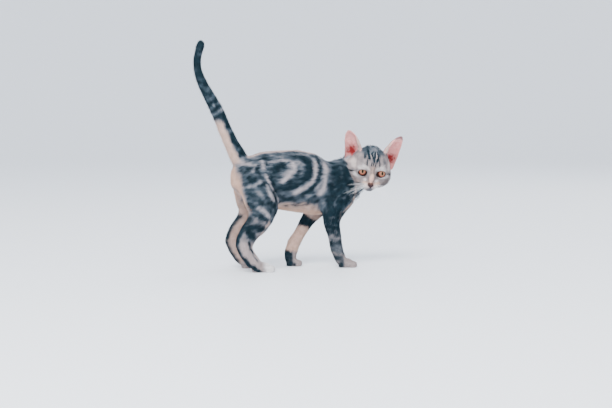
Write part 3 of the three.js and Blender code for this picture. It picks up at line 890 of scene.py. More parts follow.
def paintUnderside(marks, places, normals, weights, node):
    # the belly, the limbs' inner sides and backs, and the paws
    middle = middleOf("trunk") / mm
    belly = ease(-normals[:, 2], 0.1, 0.7) * ease(112 - places[:, 2], 0, 14) * share(weights, "trunk")
    wash(marks, belly, warm=0.95, dark=0.1)
    inward = -normals[:, 1] * np.sign(places[:, 1] - middle[1])
    limbs = share(weights, "upper") + share(weights, "lower") + share(weights, "foot")
    # the limbs' inner sides are pink-beige, and a little darker as painted shade between the legs
    wash(marks, ease(inward, 0.1, 0.6) * limbs * ease(130 - places[:, 2], 0, 30), warm=0.8, dark=0.26)
    behind = ease(-normals[:, 0], 0.25, 0.75) * (share(weights, "foot") + share(weights, "lower"))
    brush(marks, "dark", 0.9, behind * ease(-places[:, 0], 0, 20) * ease(96 - places[:, 2], 0, 12))
    wrist = ease(-normals[:, 0], 0.1, 0.6) * (share(weights, "lower") + share(weights, "paw"))
    wrist = wrist * ease(places[:, 1] - middle[1], 0, 8) * ease(places[:, 0], -40, -30)
    wrist = wrist * ease(3 - places[:, 0], 0, 5)
    brush(marks, "dark", 1.0, wrist * ease(46 - places[:, 2], 0, 5))
    # the rear of the fore paws
    for name, tone in (("left_fore_paw", 0.95), ("right_fore_paw", 0.78)):
        side = 1 if "left" in name else -1
        heel = ease(middleOf(name)[0] / mm - 1 - places[:, 0], 0, 5) * ease(28 - places[:, 2], 0, 8)
        heel = heel * ease((places[:, 1] - middle[1]) * side, 0, 8) * ease(places[:, 0], -45, -36)
        brush(marks, "dark", tone, heel * (share(weights, "lower") + share(weights, "paw")))
    toes = np.isin(node, [nodeNames.index(n) for n in regions["paw"] if "hind" in n])
    toes = toes * ease(places[:, 0], -74, -63)
    wash(marks, toes, white=0.95, warm=0.1, dark=0.0)


def paintFlanks(marks, tree, body, face):
    middle = middleOf("trunk") / mm
    for name, tone, half, path in flankStrokes:
        for side in (-1, 1):
            line = []
            for ahead, above in path:
                ahead = ahead + strokesAhead * ease(above, -60, -25)
                start = Vector((middle[0] + ahead, middle[1] + side * 120, middle[2] + above))
                hit = tree.ray_cast(start, Vector((0, -side, 0)))[0]
                if hit is not None:
                    line.append(hit)
            if len(line) > 1:
                ratio = lineRatio(body, curveThrough(line), half)
                brush(marks, name, tone, (1 - ease(ratio, 0.55, 1.35)) * (1 - face))


def paintBack(marks, places, normals, body, weights):
    # the pale rump, and the dark line along the spine between two pale ones
    middle = middleOf("trunk") / mm
    rump = ease(-normals[:, 0], 0.5, 0.85) * (share(weights, "trunk") + share(weights, "upper"))
    rump = rump * ease(-places[:, 0], 60, 80) * ease(places[:, 2], 86, 98)
    wash(marks, rump, warm=0.9, dark=0.05)
    # the pale rump darker towards its bottom, as painted shade
    brush(marks, "dark", 0.3, rump * ease(112 - places[:, 2], 0, 16))
    spine = np.abs(body[:, 1] - middle[1])
    top = share(weights, "trunk") * ease(normals[:, 2], 0.5, 0.8)
    top = top * ease(45 - (body[:, 0] - middle[0]), 0, 12)
    wash(marks, (1 - ease(spine, 5.5, 8.5)) * top, dark=0.05, warm=0.5)
    brush(marks, "dark", 0.75, (1 - ease(spine, 0.8, 2.0)) * top)


def paintBands(marks, normals, body, weights, node):
    for names, name, tone, height, half, tilt in bands:
        mine = np.isin(node, [nodeNames.index(n) for n in names])
        centre = np.mean([middleOf(n)[0] for n in names]) / mm
        level = body[:, 2] - height - tilt * (body[:, 0] - centre)
        brush(marks, name, tone, (1 - ease(np.abs(level) / half, 0.7, 1.3)) * mine)
    # under the tail it is pale beside its root
    under = ease(-normals[:, 0] - 0.3 * normals[:, 2], -0.25, 0.35) * share(weights, "tail")
    under = under * (1 - ease(body[:, 2], 226, 240))
    wash(marks, under, warm=0.9, dark=0.08, white=0.15)


def paintHead(marks, mesh, h, hNormals, weights, face):
    onHead = face > 0.02
    hBody = h.copy()
    hBody[onHead] = wavered(h[onHead], waver["face"])
    back = ease(-h[:, 0], 2, 14) * face * (1 - share(weights, "ear"))
    wash(marks, back, dark=0.55, warm=0.1)
    crown = ease(h[:, 2], 23, 31) * face * ease(23 - np.abs(h[:, 1]), 0, 8)
    wash(marks, crown, dark=0.7, warm=0.1)
    headTree = surfaceTree(mesh, h)
    for name, tone, half, path, both in faceStrokes:
        for side in (1, -1) if both else (1,):
            line = [headTree.find_nearest(Vector((x, y * side, z)))[0] for x, y, z in path]
            ratio = lineRatio(hBody, curveThrough(line), half)
            brush(marks, name, tone, (1 - ease(ratio, 0.5, 1.3)) * face)
    for side in (-1, 1):
        # pale where the ear meets the neck
        gap = np.linalg.norm(h - (-5, 36 * side, 13), axis=1)
        brush(marks, "dark", 0.2, 1 - ease(gap, 6, 11))
        paintEar(marks, h, hNormals, share(weights, "ear"), side)
        turn, ratio, reach = aroundEye(h, side)
        gap = (ratio - 1) * reach
        corner = eyePlan["corner"][sideName(side)]
        wider = 1.7 + corner * np.clip(-np.cos(turn), 0, 1) ** 4
        brush(marks, "rim", 1.0, 1 - ease(gap, eyePlan["rim"] * 0.7, eyePlan["rim"] * wider))
    away = h - toHead(middleOf("nose")) + (0, 0, noseLower)
    gap = np.hypot(away[:, 1], away[:, 2] * 1.3) + 9 * (away[:, 0] < -6)
    brush(marks, "deep", 0.3, 1 - ease(gap, 5.0, 7.0))
    brush(marks, "rim", 0.9, 1 - ease(gap, 4.2, 5.2))


def paintEar(marks, h, normals, ear, side):
    local, wide = acrossEar(h, side)
    front = earAxes(side)[3]
    mine = (h[:, 1] * side > 0) * ease(ear, 0.2, 0.6)
    inside = ease(normals @ front, -0.6, -0.1) * mine * (1 - ease(np.abs(wide), 0.93, 1.06))
    wash(marks, inside, bare=0.95, dark=0.05)
    # the canal is deep red, darkest at its middle: partly its own colour and partly painted shade in the
    # hollow
    gap = np.hypot((local[:, 0] - earPlan["canalUp"]) * 0.7, local[:, 1] - earPlan["canalOut"])
    rough = np.array([noise.noise(Vector(p) / 3.2) for p in h[mine > 0]])
    gap[mine > 0] *= 1 + 0.55 * rough
    brush(marks, "deep", 0.45, (1 - ease(gap, 4.0, 15.0)) * inside)
    if side > 0:
        brush(marks, "deep", 0.3, (1 - ease(gap, 12.0, 30.0)) * inside * (marks["deep"] < 0.3))
    brush(marks, "deep", 1.0, (1 - ease(gap, 2.5, 8.5)) * inside)
    brush(marks, "dark", 0.75, mine * ease(-normals @ front, 0.1, 0.5) * ease(local[:, 0], -24, -12))
    brush(marks, "dark", 0.5, mine * ease(wide, 0.88, 1.0) * ease(local[:, 0], -10, 12))
    cream = mine * ease(-wide, 0.88, 1.0) * ease(normals @ front, -0.5, 0.0)
    wash(marks, cream, bare=0.0, dark=0.0, warm=0.85, white=0.1)
    tip = mine * ease(local[:, 0] + 2.5 * np.abs(wide), 26, 29)
    wash(marks, tip, dark=0.7, bare=0.4)


def paintMarks(mesh, weights, node):
    places, normals = placesOf(mesh) / mm, normalsOf(mesh)
    face = ease(share(weights, "head") + share(weights, "ear"), 0.3, 0.7)
    marks = {name: np.zeros(len(places)) for name in markNames}
    for name, tones in baseTones.items():
        marks[name] = perRegion(weights, tones)
    body = wavered(places, waver["body"])
    paintUnderside(marks, places, normals, weights, node)
    paintFlanks(marks, surfaceTree(mesh, places), body, face)
    paintBack(marks, places, normals, body, weights)
    paintBands(marks, normals, body, weights, node)
    cloud = np.array([noise.noise(Vector(p) / patches["size"]) for p in places * (0.55, 1, 1)])
    marks["dark"] = marks["dark"] + cloud * patches["amount"] * ease(marks["dark"], 0.3, 0.7)
    paintHead(marks, mesh, toHead(places * mm), normals @ headAxes.T, weights, face)
    return marks


weights, nodeOf = regionWeights(placesOf(skin.data), edgesOf(skin.data), 3)
marks = paintMarks(skin.data, weights, nodeOf)
for name in markNames:
    marks[name] = np.clip(marks[name], 0, 1)
    setAttribute(skin.data, name, marks[name])
print("pattern painted")


# finishes


def newGroup(name, inputs, outputs):
    group = bpy.data.node_groups.new(name, "ShaderNodeTree")
    for label, kind, start in inputs:
        socket = group.interface.new_socket(label, in_out="INPUT", socket_type="NodeSocket" + kind)
        if start is not None:
            socket.default_value = start
    for label, kind in outputs:
        group.interface.new_socket(label, in_out="OUTPUT", socket_type="NodeSocket" + kind)
    return group, group.nodes.new("NodeGroupInput"), group.nodes.new("NodeGroupOutput")


def plug(tree, socket, value):
    if isinstance(value, bpy.types.NodeSocket):
        tree.links.new(value, socket)
    else:
        socket.default_value = value


def mathNode(tree, operation, a, b=0.0):
    node = tree.nodes.new("ShaderNodeMath")
    node.operation = operation
    plug(tree, node.inputs[0], a)
    plug(tree, node.inputs[1], b)
    return node.outputs[0]


def mixNode(tree, factor, a, b, blend="MIX"):
    node = tree.nodes.new("ShaderNodeMix")
    node.data_type = "RGBA"
    node.blend_type = blend
    plug(tree, node.inputs[0], factor)
    plug(tree, node.inputs[6], a)
    plug(tree, node.inputs[7], b)
    return node.outputs[2]


def vectorNode(tree, operation, *values, scale=None):
    node = tree.nodes.new("ShaderNodeVectorMath")
    node.operation = operation
    for socket, value in zip(node.inputs, values):
        plug(tree, socket, value)
    if scale is not None:
        plug(tree, node.inputs["Scale"], scale)
    return node.outputs["Value" if operation in ("DOT_PRODUCT", "LENGTH") else "Vector"]


def addBump(tree, shader, height, distance, strength):
    bump = tree.nodes.new("ShaderNodeBump")
    bump.inputs["Distance"].default_value = distance
    bump.inputs["Strength"].default_value = strength
    plug(tree, bump.inputs["Height"], height)
    plug(tree, shader.inputs["Normal"], bump.outputs["Normal"])


def rangeNode(tree, value, low, high, toLow=0.0, toHigh=1.0):
    node = tree.nodes.new("ShaderNodeMapRange")
    plug(tree, node.inputs["Value"], value)
    for label, amount in [("From Min", low), ("From Max", high), ("To Min", toLow), ("To Max", toHigh)]:
        node.inputs[label].default_value = amount
    return node.outputs["Result"]


def noiseNode(tree, place, scale, detail=3.0, what="Fac"):
    node = tree.nodes.new("ShaderNodeTexNoise")
    plug(tree, node.inputs["Vector"], place)
    node.inputs["Scale"].default_value = scale
    node.inputs["Detail"].default_value = detail
    return node.outputs[what]


def objectPlace(tree):
    return tree.nodes.new("ShaderNodeTexCoord").outputs["Object"]


def readMark(tree, name, what="Fac"):
    node = tree.nodes.new("ShaderNodeAttribute")
    node.attribute_name = name
    return node.outputs[what]


# linear colours of the coat, each as a pair that the coat varies between
coatColours = {
    "silver": ((0.44, 0.395, 0.415, 1), (0.66, 0.60, 0.625, 1)),
    "steel": ((0.075, 0.105, 0.135, 1), (0.15, 0.19, 0.235, 1)),
    "umber": ((0.13, 0.10, 0.092, 1), (0.26, 0.205, 0.185, 1)),
    "slate": ((0.002, 0.0068, 0.0105, 1), (0.012, 0.031, 0.044, 1)),
    "warm": ((0.62, 0.345, 0.235, 1), (0.82, 0.525, 0.39, 1)),
    "white": ((0.74, 0.71, 0.70, 1), (0.88, 0.86, 0.85, 1)),
    "bare": ((0.66, 0.23, 0.22, 1), (0.80, 0.40, 0.37, 1)),
    "deep": ((0.15, 0.008, 0.009, 1), (0.28, 0.03, 0.03, 1)),
    "rim": ((0.008, 0.005, 0.004, 1), (0.022, 0.012, 0.010, 1)),
}


def makeCoatGroup():
    inputs = [("Place", "Vector", None)] + [(n.capitalize(), "Float", 0.0) for n in markNames]
    group, given, out = newGroup("tabbyColours", inputs, [("Color", "Color")])
    patch = rangeNode(group, noiseNode(group, given.outputs["Place"], 160), 0.3, 0.7)
    fleck = rangeNode(group, noiseNode(group, given.outputs["Place"], 900, 2), 0.3, 0.7)
    vary = mathNode(group, "MULTIPLY", mathNode(group, "ADD", patch, fleck), 0.5)
    pair = {n: mixNode(group, vary, *coatColours[n]) for n in coatColours}
    jitter = mathNode(group, "MULTIPLY", mathNode(group, "SUBTRACT", fleck, 0.5), 0.22)
    tone = rangeNode(group, mathNode(group, "ADD", given.outputs["Dark"], jitter), 0, 1)
    light = mathNode(group, "SUBTRACT", 1.0, tone)
    dark = mathNode(group, "SUBTRACT", 1.0, mathNode(group, "POWER", light, 1.25))
    colour = pair["silver"]
    colour = mixNode(group, given.outputs["Warm"], colour, pair["warm"])
    colour = mixNode(group, given.outputs["White"], colour, pair["white"])
    middle = mixNode(group, given.outputs["Warm"], pair["steel"], pair["umber"])
    colour = mixNode(group, rangeNode(group, dark, 0.0, 0.62), colour, middle)
    colour = mixNode(group, rangeNode(group, dark, 0.5, 0.94), colour, pair["slate"])
    for name in ("bare", "deep", "rim"):
        colour = mixNode(group, given.outputs[name.capitalize()], colour, pair[name])
    plug(group, out.inputs["Color"], colour)
    return group


# fine lines that follow the lie of the coat: how far they are drawn out along it, how fine they
# are across it, and how high they stand, in metres
grainPlan = {"stretch": 0.86, "fine": 1500, "height": 0.0006, "strength": 0.6}


def makeGrainGroup():
    group, given, out = newGroup("hairGrain", [("Place", "Vector", None), ("Lie", "Vector", None)],
                                 [("Height", "Float")])
    place, lie = given.outputs["Place"], given.outputs["Lie"]
    along = vectorNode(group, "DOT_PRODUCT", place, lie)
    along = mathNode(group, "MULTIPLY", along, -grainPlan["stretch"])
    squeezed = vectorNode(group, "ADD", place, vectorNode(group, "SCALE", lie, scale=along))
    plug(group, out.inputs["Height"], noiseNode(group, squeezed, grainPlan["fine"], 3))
    return group


coatGroup = makeCoatGroup()
grainGroup = makeGrainGroup()


def newMaterial(name):
    material = bpy.data.materials.new(name)
    material.use_nodes = True
    tree = material.node_tree
    return material, tree, tree.nodes["Principled BSDF"]


def placeGroup(tree, group):
    node = tree.nodes.new("ShaderNodeGroup")
    node.node_tree = group
    return node


def markedColour(tree):
    node = placeGroup(tree, coatGroup)
    plug(tree, node.inputs["Place"], objectPlace(tree))
    for name in markNames:
        plug(tree, node.inputs[name.capitalize()], readMark(tree, name))
    return node.outputs["Color"]


def makeSkinMaterial():
    material, tree, shader = newMaterial("shortCoat")
    colour = markedColour(tree)
    grain = placeGroup(tree, grainGroup)
    plug(tree, grain.inputs["Place"], objectPlace(tree))
    plug(tree, grain.inputs["Lie"], readMark(tree, "lie", "Vector"))
    hairless = mathNode(tree, "MAXIMUM", readMark(tree, "bare"), readMark(tree, "rim"))
    furred = mathNode(tree, "SUBTRACT", 1.0, hairless)
    streak = rangeNode(tree, grain.outputs["Height"], 0.3, 0.7, -0.38, 0.12)
    streak = mathNode(tree, "ADD", mathNode(tree, "MULTIPLY", streak, furred), 1.0)
    plug(tree, shader.inputs["Base Color"], vectorNode(tree, "SCALE", colour, scale=streak))
    plug(tree, shader.inputs["Roughness"], rangeNode(tree, furred, 0.0, 1.0, 0.42, 0.72))
    lines = mathNode(tree, "MULTIPLY", grain.outputs["Height"], furred)
    addBump(tree, shader, lines, grainPlan["height"], grainPlan["strength"])
    shader.inputs["Specular IOR Level"].default_value = 0.06
    return material


skin.data.materials.append(makeSkinMaterial())


# the lie of the coat: away from the nose, back over the body and down the legs
liePlan = {"rounds": 30, "fall": 0.3}


def wayFrom(start, places, edges):
    # length of the shortest way over the skin from one vertex to each
    both = np.concatenate([edges, edges[:, ::-1]])
    both = both[np.argsort(both[:, 0], kind="stable")]
    cost = np.linalg.norm(places[both[:, 0]] - places[both[:, 1]], axis=1).tolist()
    first = np.searchsorted(both[:, 0], np.arange(len(places) + 1)).tolist()
    target = both[:, 1].tolist()
    way = [math.inf] * len(places)
    way[start] = 0.0
    queue = [(0.0, start)]
    while queue:
        far, here = heapq.heappop(queue)
        if far > way[here]:
            continue
        for k in range(first[here], first[here + 1]):
            longer = far + cost[k]
            if longer < way[target[k]]:
                way[target[k]] = longer
                heapq.heappush(queue, (longer, target[k]))
    way = np.array(way)
    return np.where(np.isfinite(way), way, 0)


def findLie(mesh):
    places, edges, normals = placesOf(mesh), edgesOf(mesh), normalsOf(mesh)
    nose = fromHead(toHead(middleOf("nose")) + (3, 0, 1))
    way = wayFrom(int(np.argmin(np.linalg.norm(places - nose, axis=1))), places, edges)
    a, b = edges[:, 0], edges[:, 1]
    run = places[b] - places[a]
    rise = run * ((way[b] - way[a]) / np.maximum((run**2).sum(1), 1e-12))[:, None]
    lie = np.stack([np.bincount(a, rise[:, k], len(places)) + np.bincount(b, rise[:, k], len(places))
                    for k in range(3)], 1)
    lie = unit(lie)
    lie[:, 2] -= liePlan["fall"] * share(weights, "trunk")
    for _ in range(liePlan["rounds"]):
        lie = softened(lie, edges, 1)
        lie = unit(lie - normals * (lie * normals).sum(1)[:, None])
    return lie


lie = findLie(skin.data)
setAttribute(skin.data, "lie", lie)
print("lie of the coat found")

# the tufts: length, width and how high their tips stand, over each region
tuftPlan = {
    "length": {"trunk": 9.0, "neck": 9.5, "upper": 7.5, "lower": 5.4, "foot": 4.6, "paw": 3.2,
               "tail": 7.5, "head": 4.2, "ear": 2.6},
    "width": {"trunk": 0.47, "neck": 0.47, "upper": 0.45, "lower": 0.44, "foot": 0.42, "paw": 0.4,
              "tail": 0.48, "head": 0.36, "ear": 0.32},
    "height": {"trunk": 1.9, "neck": 2.2, "upper": 1.7, "lower": 1.3, "foot": 1.0, "paw": 0.75,
               "tail": 1.9, "head": 0.95, "ear": 0.35},
    "stray": {"trunk": 0.4, "neck": 1.3, "upper": 0.6, "lower": 0.5, "foot": 0.3, "paw": 0,
              "tail": 1.1, "head": 0.2, "ear": 0},  # how much higher one in ten stands
}

# flecks along the dark parts of the coat: how many per metre each way, and how much lighter
fleckPlan = {"pace": (95, 260, 230), "amount": 0.3}

# the tuft of the crown, where the coat is longer and stands up
crownPlan = {"low": 29, "high": 33, "aside": 13, "longer": 0.7, "higher": 2.8}

# the back of the head, where the tufts are longer
napePlan = {"longer": 0.6, "higher": 0.7}

# the short hair of the muzzle: its middle on the head's own axes, how far it reaches, and the
# share of each size that the tufts have there and the share that they gain away from it
muzzlePlan = {
    "place": (30, 0, -14),
    "reach": (4, 26),
    "length": (0.45, 0.55),
    "width": (0.7, 0.3),
    "height": (0.45, 0.55),
}

# each piece of coat: its nodes, the side of the body (0 both), how many tufts, and if they bend
coatPieces = {
    "coatRightFlank": (["trunk"], -1, 17000, True),
    "coatLeftFlank": (["trunk"], 1, 17000, True),
    "coatNeck": (["neck"], 0, 12500, True),
    "coatShoulders": (["right_upper_arm", "left_upper_arm"], 0, 14500, True),
    "coatThighs": (["right_thigh", "left_thigh"], 0, 16000, True),
    "coatForelegs": (["right_forearm", "left_forearm"], 0, 12000, True),
    "coatShanks": (["right_shank", "left_shank", "right_hind_foot", "left_hind_foot"], 0, 16000, True),
    "coatPaws": (regions["paw"], 0, 14000, False),
    "coatTail": (regions["tail"], 0, 15000, True),
    "coatFace": (["head", "nose", "right_eye", "left_eye"], 0, 38000, False),
    "coatEars": (["right_ear", "left_ear"], 0, 17000, False),
}


def unwrapSkin():
    makeActive(skin)
    onWhole(bpy.ops.uv.smart_project, angle_limit=math.radians(66), island_margin=0.001)
    found = np.empty(len(skin.data.loops) * 2, np.float32)
    skin.data.uv_layers.active.data.foreach_get("uv", found)
    return found.reshape(-1, 2).astype(float)


def meshFrom(name, places, triangles):
    mesh = bpy.data.meshes.new(name)
    mesh.vertices.add(len(places))
    mesh.vertices.foreach_set("co", places.astype(np.float32).ravel())
    mesh.loops.add(triangles.size)
    mesh.loops.foreach_set("vertex_index", triangles.astype(np.int32).ravel())
    mesh.polygons.add(len(triangles))
    mesh.polygons.foreach_set("loop_start", np.arange(0, triangles.size, 3, dtype=np.int32))
    mesh.update(calc_edges=True)
    mesh.shade_smooth()
    piece = bpy.data.objects.new(name, mesh)
    bpy.context.collection.objects.link(piece)
    return piece


# a bent tuft is two rings of three and a tip, a straight one a ring and a tip
bentFaces = [(0, 2, 1), (0, 1, 3), (1, 4, 3), (1, 2, 4), (2, 5, 4), (2, 0, 5), (0, 3, 5),
             (3, 4, 6), (4, 5, 6), (5, 3, 6)]
straightFaces = [(0, 2, 1), (0, 1, 3), (1, 2, 3), (2, 0, 3)]
bentPatch = [(-1, -1), (0, -0.55), (1, -1), (-0.8, 0.1), (0, 0.4), (0.8, 0.1), (0, 1)]
straightPatch = [(-1, -1), (0, -0.4), (1, -1), (0, 1)]
patchHalf = 0.0015


def tuftRings(place, up, along, width):
    # left, top and right of the tuft's section here
    right = unit(np.cross(along, up)) * (width / 2)[:, None] * mm
    return [place - right, place + up * (width * 0.4)[:, None] * mm, place + right]


def buildTufts(name, roots, middles, tips, width, values, uv):
    # roots, middles and tips are each (place, normal): middles is None for straight tufts
    count = len(width)
    along = unit((tips[0] if middles is None else middles[0]) - roots[0])
    rings = tuftRings(roots[0] - roots[1] * 0.25 * mm, roots[1], along, width)
    ups = [roots[1]] * 3
    if middles is not None:
        rings += tuftRings(middles[0], middles[1], unit(tips[0] - roots[0]), width * 0.85)
        ups += [middles[1]] * 3
    points = np.stack(rings + [tips[0]], 1)
    points[:, :, 2] = np.maximum(points[:, :, 2], 0.05 * mm)
    ups = np.stack(ups + [tips[1]], 1)
    each = points.shape[1]
    faces = np.array(straightFaces if middles is None else bentFaces)
    triangles = (faces[None] + np.arange(count)[:, None, None] * each).reshape(-1, 3)
    piece = meshFrom(name, points.reshape(-1, 3), triangles)
    mesh = piece.data
    side = unit(np.cross(along, roots[1]))
    lean = np.zeros_like(points)
    for k in range(0, each - 1, 3):
        lean[:, k], lean[:, k + 2] = -side, side
    bent = unit(ups + 0.45 * lean).reshape(-1, 3)
    mesh.normals_split_custom_set_from_vertices(bent.astype(np.float32))
    patch = np.array(straightPatch if middles is None else bentPatch) * patchHalf
    low, high = uv.min(0), uv.max(0)
    spread = 0.003 + (uv - low) / (high - low) * 0.994
    corners = (spread[:, None] + patch[None]).reshape(-1, 2)[triangles.ravel()]
    layer = mesh.uv_layers.new(name="OFBake")
    layer.data.foreach_set("uv", corners.astype(np.float32).ravel())
    for mark, column in values.items():
        setAttribute(mesh, mark, np.repeat(column, each))
    tip = [0, 0, 0, 1] if middles is None else [0, 0, 0, 0.5, 0.5, 0.5, 1]
    setAttribute(mesh, "tuftTip", np.tile(np.array(tip, float), count))
    return piece


def settled(tree, points):
    # the skin's nearest place and normal to each point
    found = [tree.find_nearest(Vector(p)) for p in points.tolist()]
    return np.array([f[0] for f in found]), np.array([f[1] for f in found])


def scatterRoots(names, side, count, places, corners):
    # the face of each root and its place in it, evenly over the nodes' own skin
    a, b, c = (places[corners[:, k]] for k in range(3))
    area = np.linalg.norm(np.cross(b - a, c - a), axis=1)
    mine = np.isin(nodeOf[corners[:, 0]], [nodeNames.index(n) for n in names])
    if side:
        mine &= (a[:, 1] - middleOf("trunk")[1]) * side > 0
    hide = np.clip(marks["rim"] + marks["deep"] * 1.5 + marks["bare"] * 0.86, 0, 1)
    sole = ease(places[:, 2] / mm, 0.4, 1.4)
    total = np.cumsum(area * mine * ((1 - hide) * sole)[corners].mean(1))
    picks = (np.arange(count) + dice.random(count)) / count * total[-1] * 0.99999
    face = np.searchsorted(total, picks)
    u, v = np.sqrt(dice.random(count)), dice.random(count)
    return face, np.stack([1 - u, u * (1 - v), u * v], 1)


def growTufts(name, plan, tree, loopUv):
    names, side, count, bends = plan
    mesh = skin.data
    corners = trianglesOf(mesh)
    cornerUv = loopUv[trianglesOf(mesh, "loops")]
    places, normals = placesOf(mesh), normalsOf(mesh)
    face, mix = scatterRoots(names, side, count, places, corners)

    def at(values):
        return (values[corners[face]] * (mix if values.ndim == 1 else mix[:, :, None])).sum(1)

    place, normal, way = at(places), unit(at(normals)), at(lie)
    uv = (cornerUv[face] * mix[:, :, None]).sum(1)
    across = np.cross(normal, way)
    drift = np.array([noise.noise(Vector(p) * 90) for p in place.tolist()])
    turn = 0.5 * drift + dice.normal(0, 0.16, count)
    way = unit(way * np.cos(turn)[:, None] + across * np.sin(turn)[:, None])
    vary = dice.random(count)
    length = at(perRegion(weights, tuftPlan["length"])) * (0.7 + 0.5 * vary)
    width = at(perRegion(weights, tuftPlan["width"])) * (0.8 + 0.4 * dice.random(count))
    height = at(perRegion(weights, tuftPlan["height"])) * (0.45 + 0.65 * dice.random(count) ** 1.5)
    height = height * (1 + at(perRegion(weights, tuftPlan["stray"])) * (dice.random(count) > 0.9))
    h = toHead(place)
    onCrown = ease(h[:, 2], crownPlan["low"], crownPlan["high"])
    onCrown = onCrown * ease(crownPlan["aside"] - np.abs(h[:, 1] - 1), 0, 5)
    onChest = ruffShare(place)
    onCheek = cheekShare(h)
    longer = crownPlan["longer"] * onCrown + ruffPlan["longer"] * onChest + cheekPlan["longer"] * onCheek
    higher = crownPlan["higher"] * onCrown + ruffPlan["higher"] * onChest + cheekPlan["higher"] * onCheek
    nape = at(share(weights, "head")) * ease(-h[:, 0], 0, 16)
    length = length * (1 + longer + napePlan["longer"] * nape)
    height = height * (1 + higher + napePlan["higher"] * nape)
    away = ease(np.linalg.norm(h - muzzlePlan["place"], axis=1), *muzzlePlan["reach"])
    length, width, height = (
        size * (muzzlePlan[key][0] + muzzlePlan[key][1] * away)
        for key, size in (("length", length), ("width", width), ("height", height))
    )
    tip = settled(tree, place + way * length[:, None] * mm)
    tipPlace = tip[0] + tip[1] * height[:, None] * mm
    middles = None
    if bends:
        middle = settled(tree, place + way * (length * 0.5)[:, None] * mm)
        middles = (middle[0] + middle[1] * (height * 0.8)[:, None] * mm, middle[1])
    values = {mark: at(marks[mark]) for mark in markNames}
    values["tuftTone"] = 0.5 * dice.random(count) + 0.5 * (drift * 0.5 + 0.5)
    fleck = np.array([noise.noise(Vector(p)) for p in (place * fleckPlan["pace"]).tolist()])
    fleck = fleck * ease(values["dark"], 0.3, 0.6) * (1 - 0.6 * at(share(weights, "head")))
    values["dark"] = np.clip(values["dark"] + fleckPlan["amount"] * fleck, 0, 1)
    piece = buildTufts(name, (place, normal), middles, (tipPlace, tip[1]), width, values, uv)
    piece.data.materials.append(furMaterial)
    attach(piece, "root")
    return piece


def makeFurMaterial():
    material, tree, shader = newMaterial("fur")
    colour = markedColour(tree)
    tone = rangeNode(tree, readMark(tree, "tuftTone"), 0.0, 1.0, 0.72, 1.2)
    # each tuft is darker at its root and lighter at its tip: partly the banding of the hair, and partly
    # painted shade deep in the coat
    tip = rangeNode(tree, readMark(tree, "tuftTip"), 0.0, 1.0, 0.8, 1.1)
    shade = mathNode(tree, "MULTIPLY", tone, tip)
    plug(tree, shader.inputs["Base Color"], vectorNode(tree, "SCALE", colour, scale=shade))
    shader.inputs["Roughness"].default_value = 0.6
    shader.inputs["Specular IOR Level"].default_value = 0.05
    return material


furMaterial = makeFurMaterial()


def makeCoat():
    loopUv = unwrapSkin()
    print("skin unwrapped")
    tree = surfaceTree(skin.data, placesOf(skin.data))
    for name, plan in coatPieces.items():
        piece = growTufts(name, plan, tree, loopUv)
        print("coat:", name, len(piece.data.polygons), "triangles")


makeCoat()


# the eyes: a ball with its front bulging out of it, the iris drawn by place on the ball
eyeballPlan = {
    "bulge": 0.9,
    "iris": 6.7,
    "pupilWide": 1.5,
    "pupilHigh": 2.7,
    "gazeAside": 4,  # degrees, from straight ahead of the face
    "gazeUp": 13,
    "gazeApart": 5,
}


def newBall(name, segments, rings):
    deselectAll()
    bpy.ops.mesh.primitive_uv_sphere_add(segments=segments, ring_count=rings, radius=1)
    ball = bpy.context.object
    ball.name = ball.data.name = name
    return ball


def smoothOutside(piece):
    makeActive(piece)
    onWhole(bpy.ops.mesh.normals_make_consistent, inside=False)
    bpy.ops.object.shade_smooth()


def makeEye(side):
    middle = eyeMiddle(side)
    eye = newBall(sideName(side) + "Eye", 64, 48)
    points = placesOf(eye.data)
    turn = math.radians(eyeballPlan["gazeAside"] + side * eyeballPlan["gazeApart"])
    rise = math.radians(eyeballPlan["gazeUp"])
    gaze = np.array([math.cos(turn) * math.cos(rise), math.sin(turn) * math.cos(rise), math.sin(rise)])
    aside = unit(np.cross(np.array([0.0, 0, 1]), gaze))
    up = np.cross(gaze, aside)
    polar = np.arccos(np.clip(points[:, 2], -1, 1))
    flat = unit(points[:, :2]) * (polar * eyePlan["radius"])[:, None]
    flat[polar < 1e-4] = 0
    clear = np.clip(1 - (polar * eyePlan["radius"] / (eyeballPlan["iris"] + 0.9)) ** 2, 0, 1)
    reach = eyePlan["radius"] - 0.1 + eyeballPlan["bulge"] * clear**1.4
    local = points * reach[:, None]
    setPlaces(eye.data, fromHead(middle + local[:, :1] * aside + local[:, 1:2] * up + local[:, 2:] * gaze))
    setAttribute(eye.data, "irisPlace", np.column_stack([flat, np.zeros(len(flat))]))
    smoothOutside(eye)
    eye.data.materials.append(eyeMaterial)
    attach(eye, "root")
    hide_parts("right_eye" if side < 0 else "left_eye")


eyeColours = {
    "outer": (0.05, 0.010, 0.007, 1),
    "copper": (0.17, 0.036, 0.022, 1),
    "peach": (0.36, 0.125, 0.078, 1),
    "inner": (0.24, 0.14, 0.08, 1),
    "pupil": (0.0015, 0.006, 0.004, 1),
    "edge": (0.006, 0.004, 0.004, 1),
    # the white of the eye is painted dark brown, as painted shade under the lids
    "white": (0.03, 0.015, 0.012, 1),
}


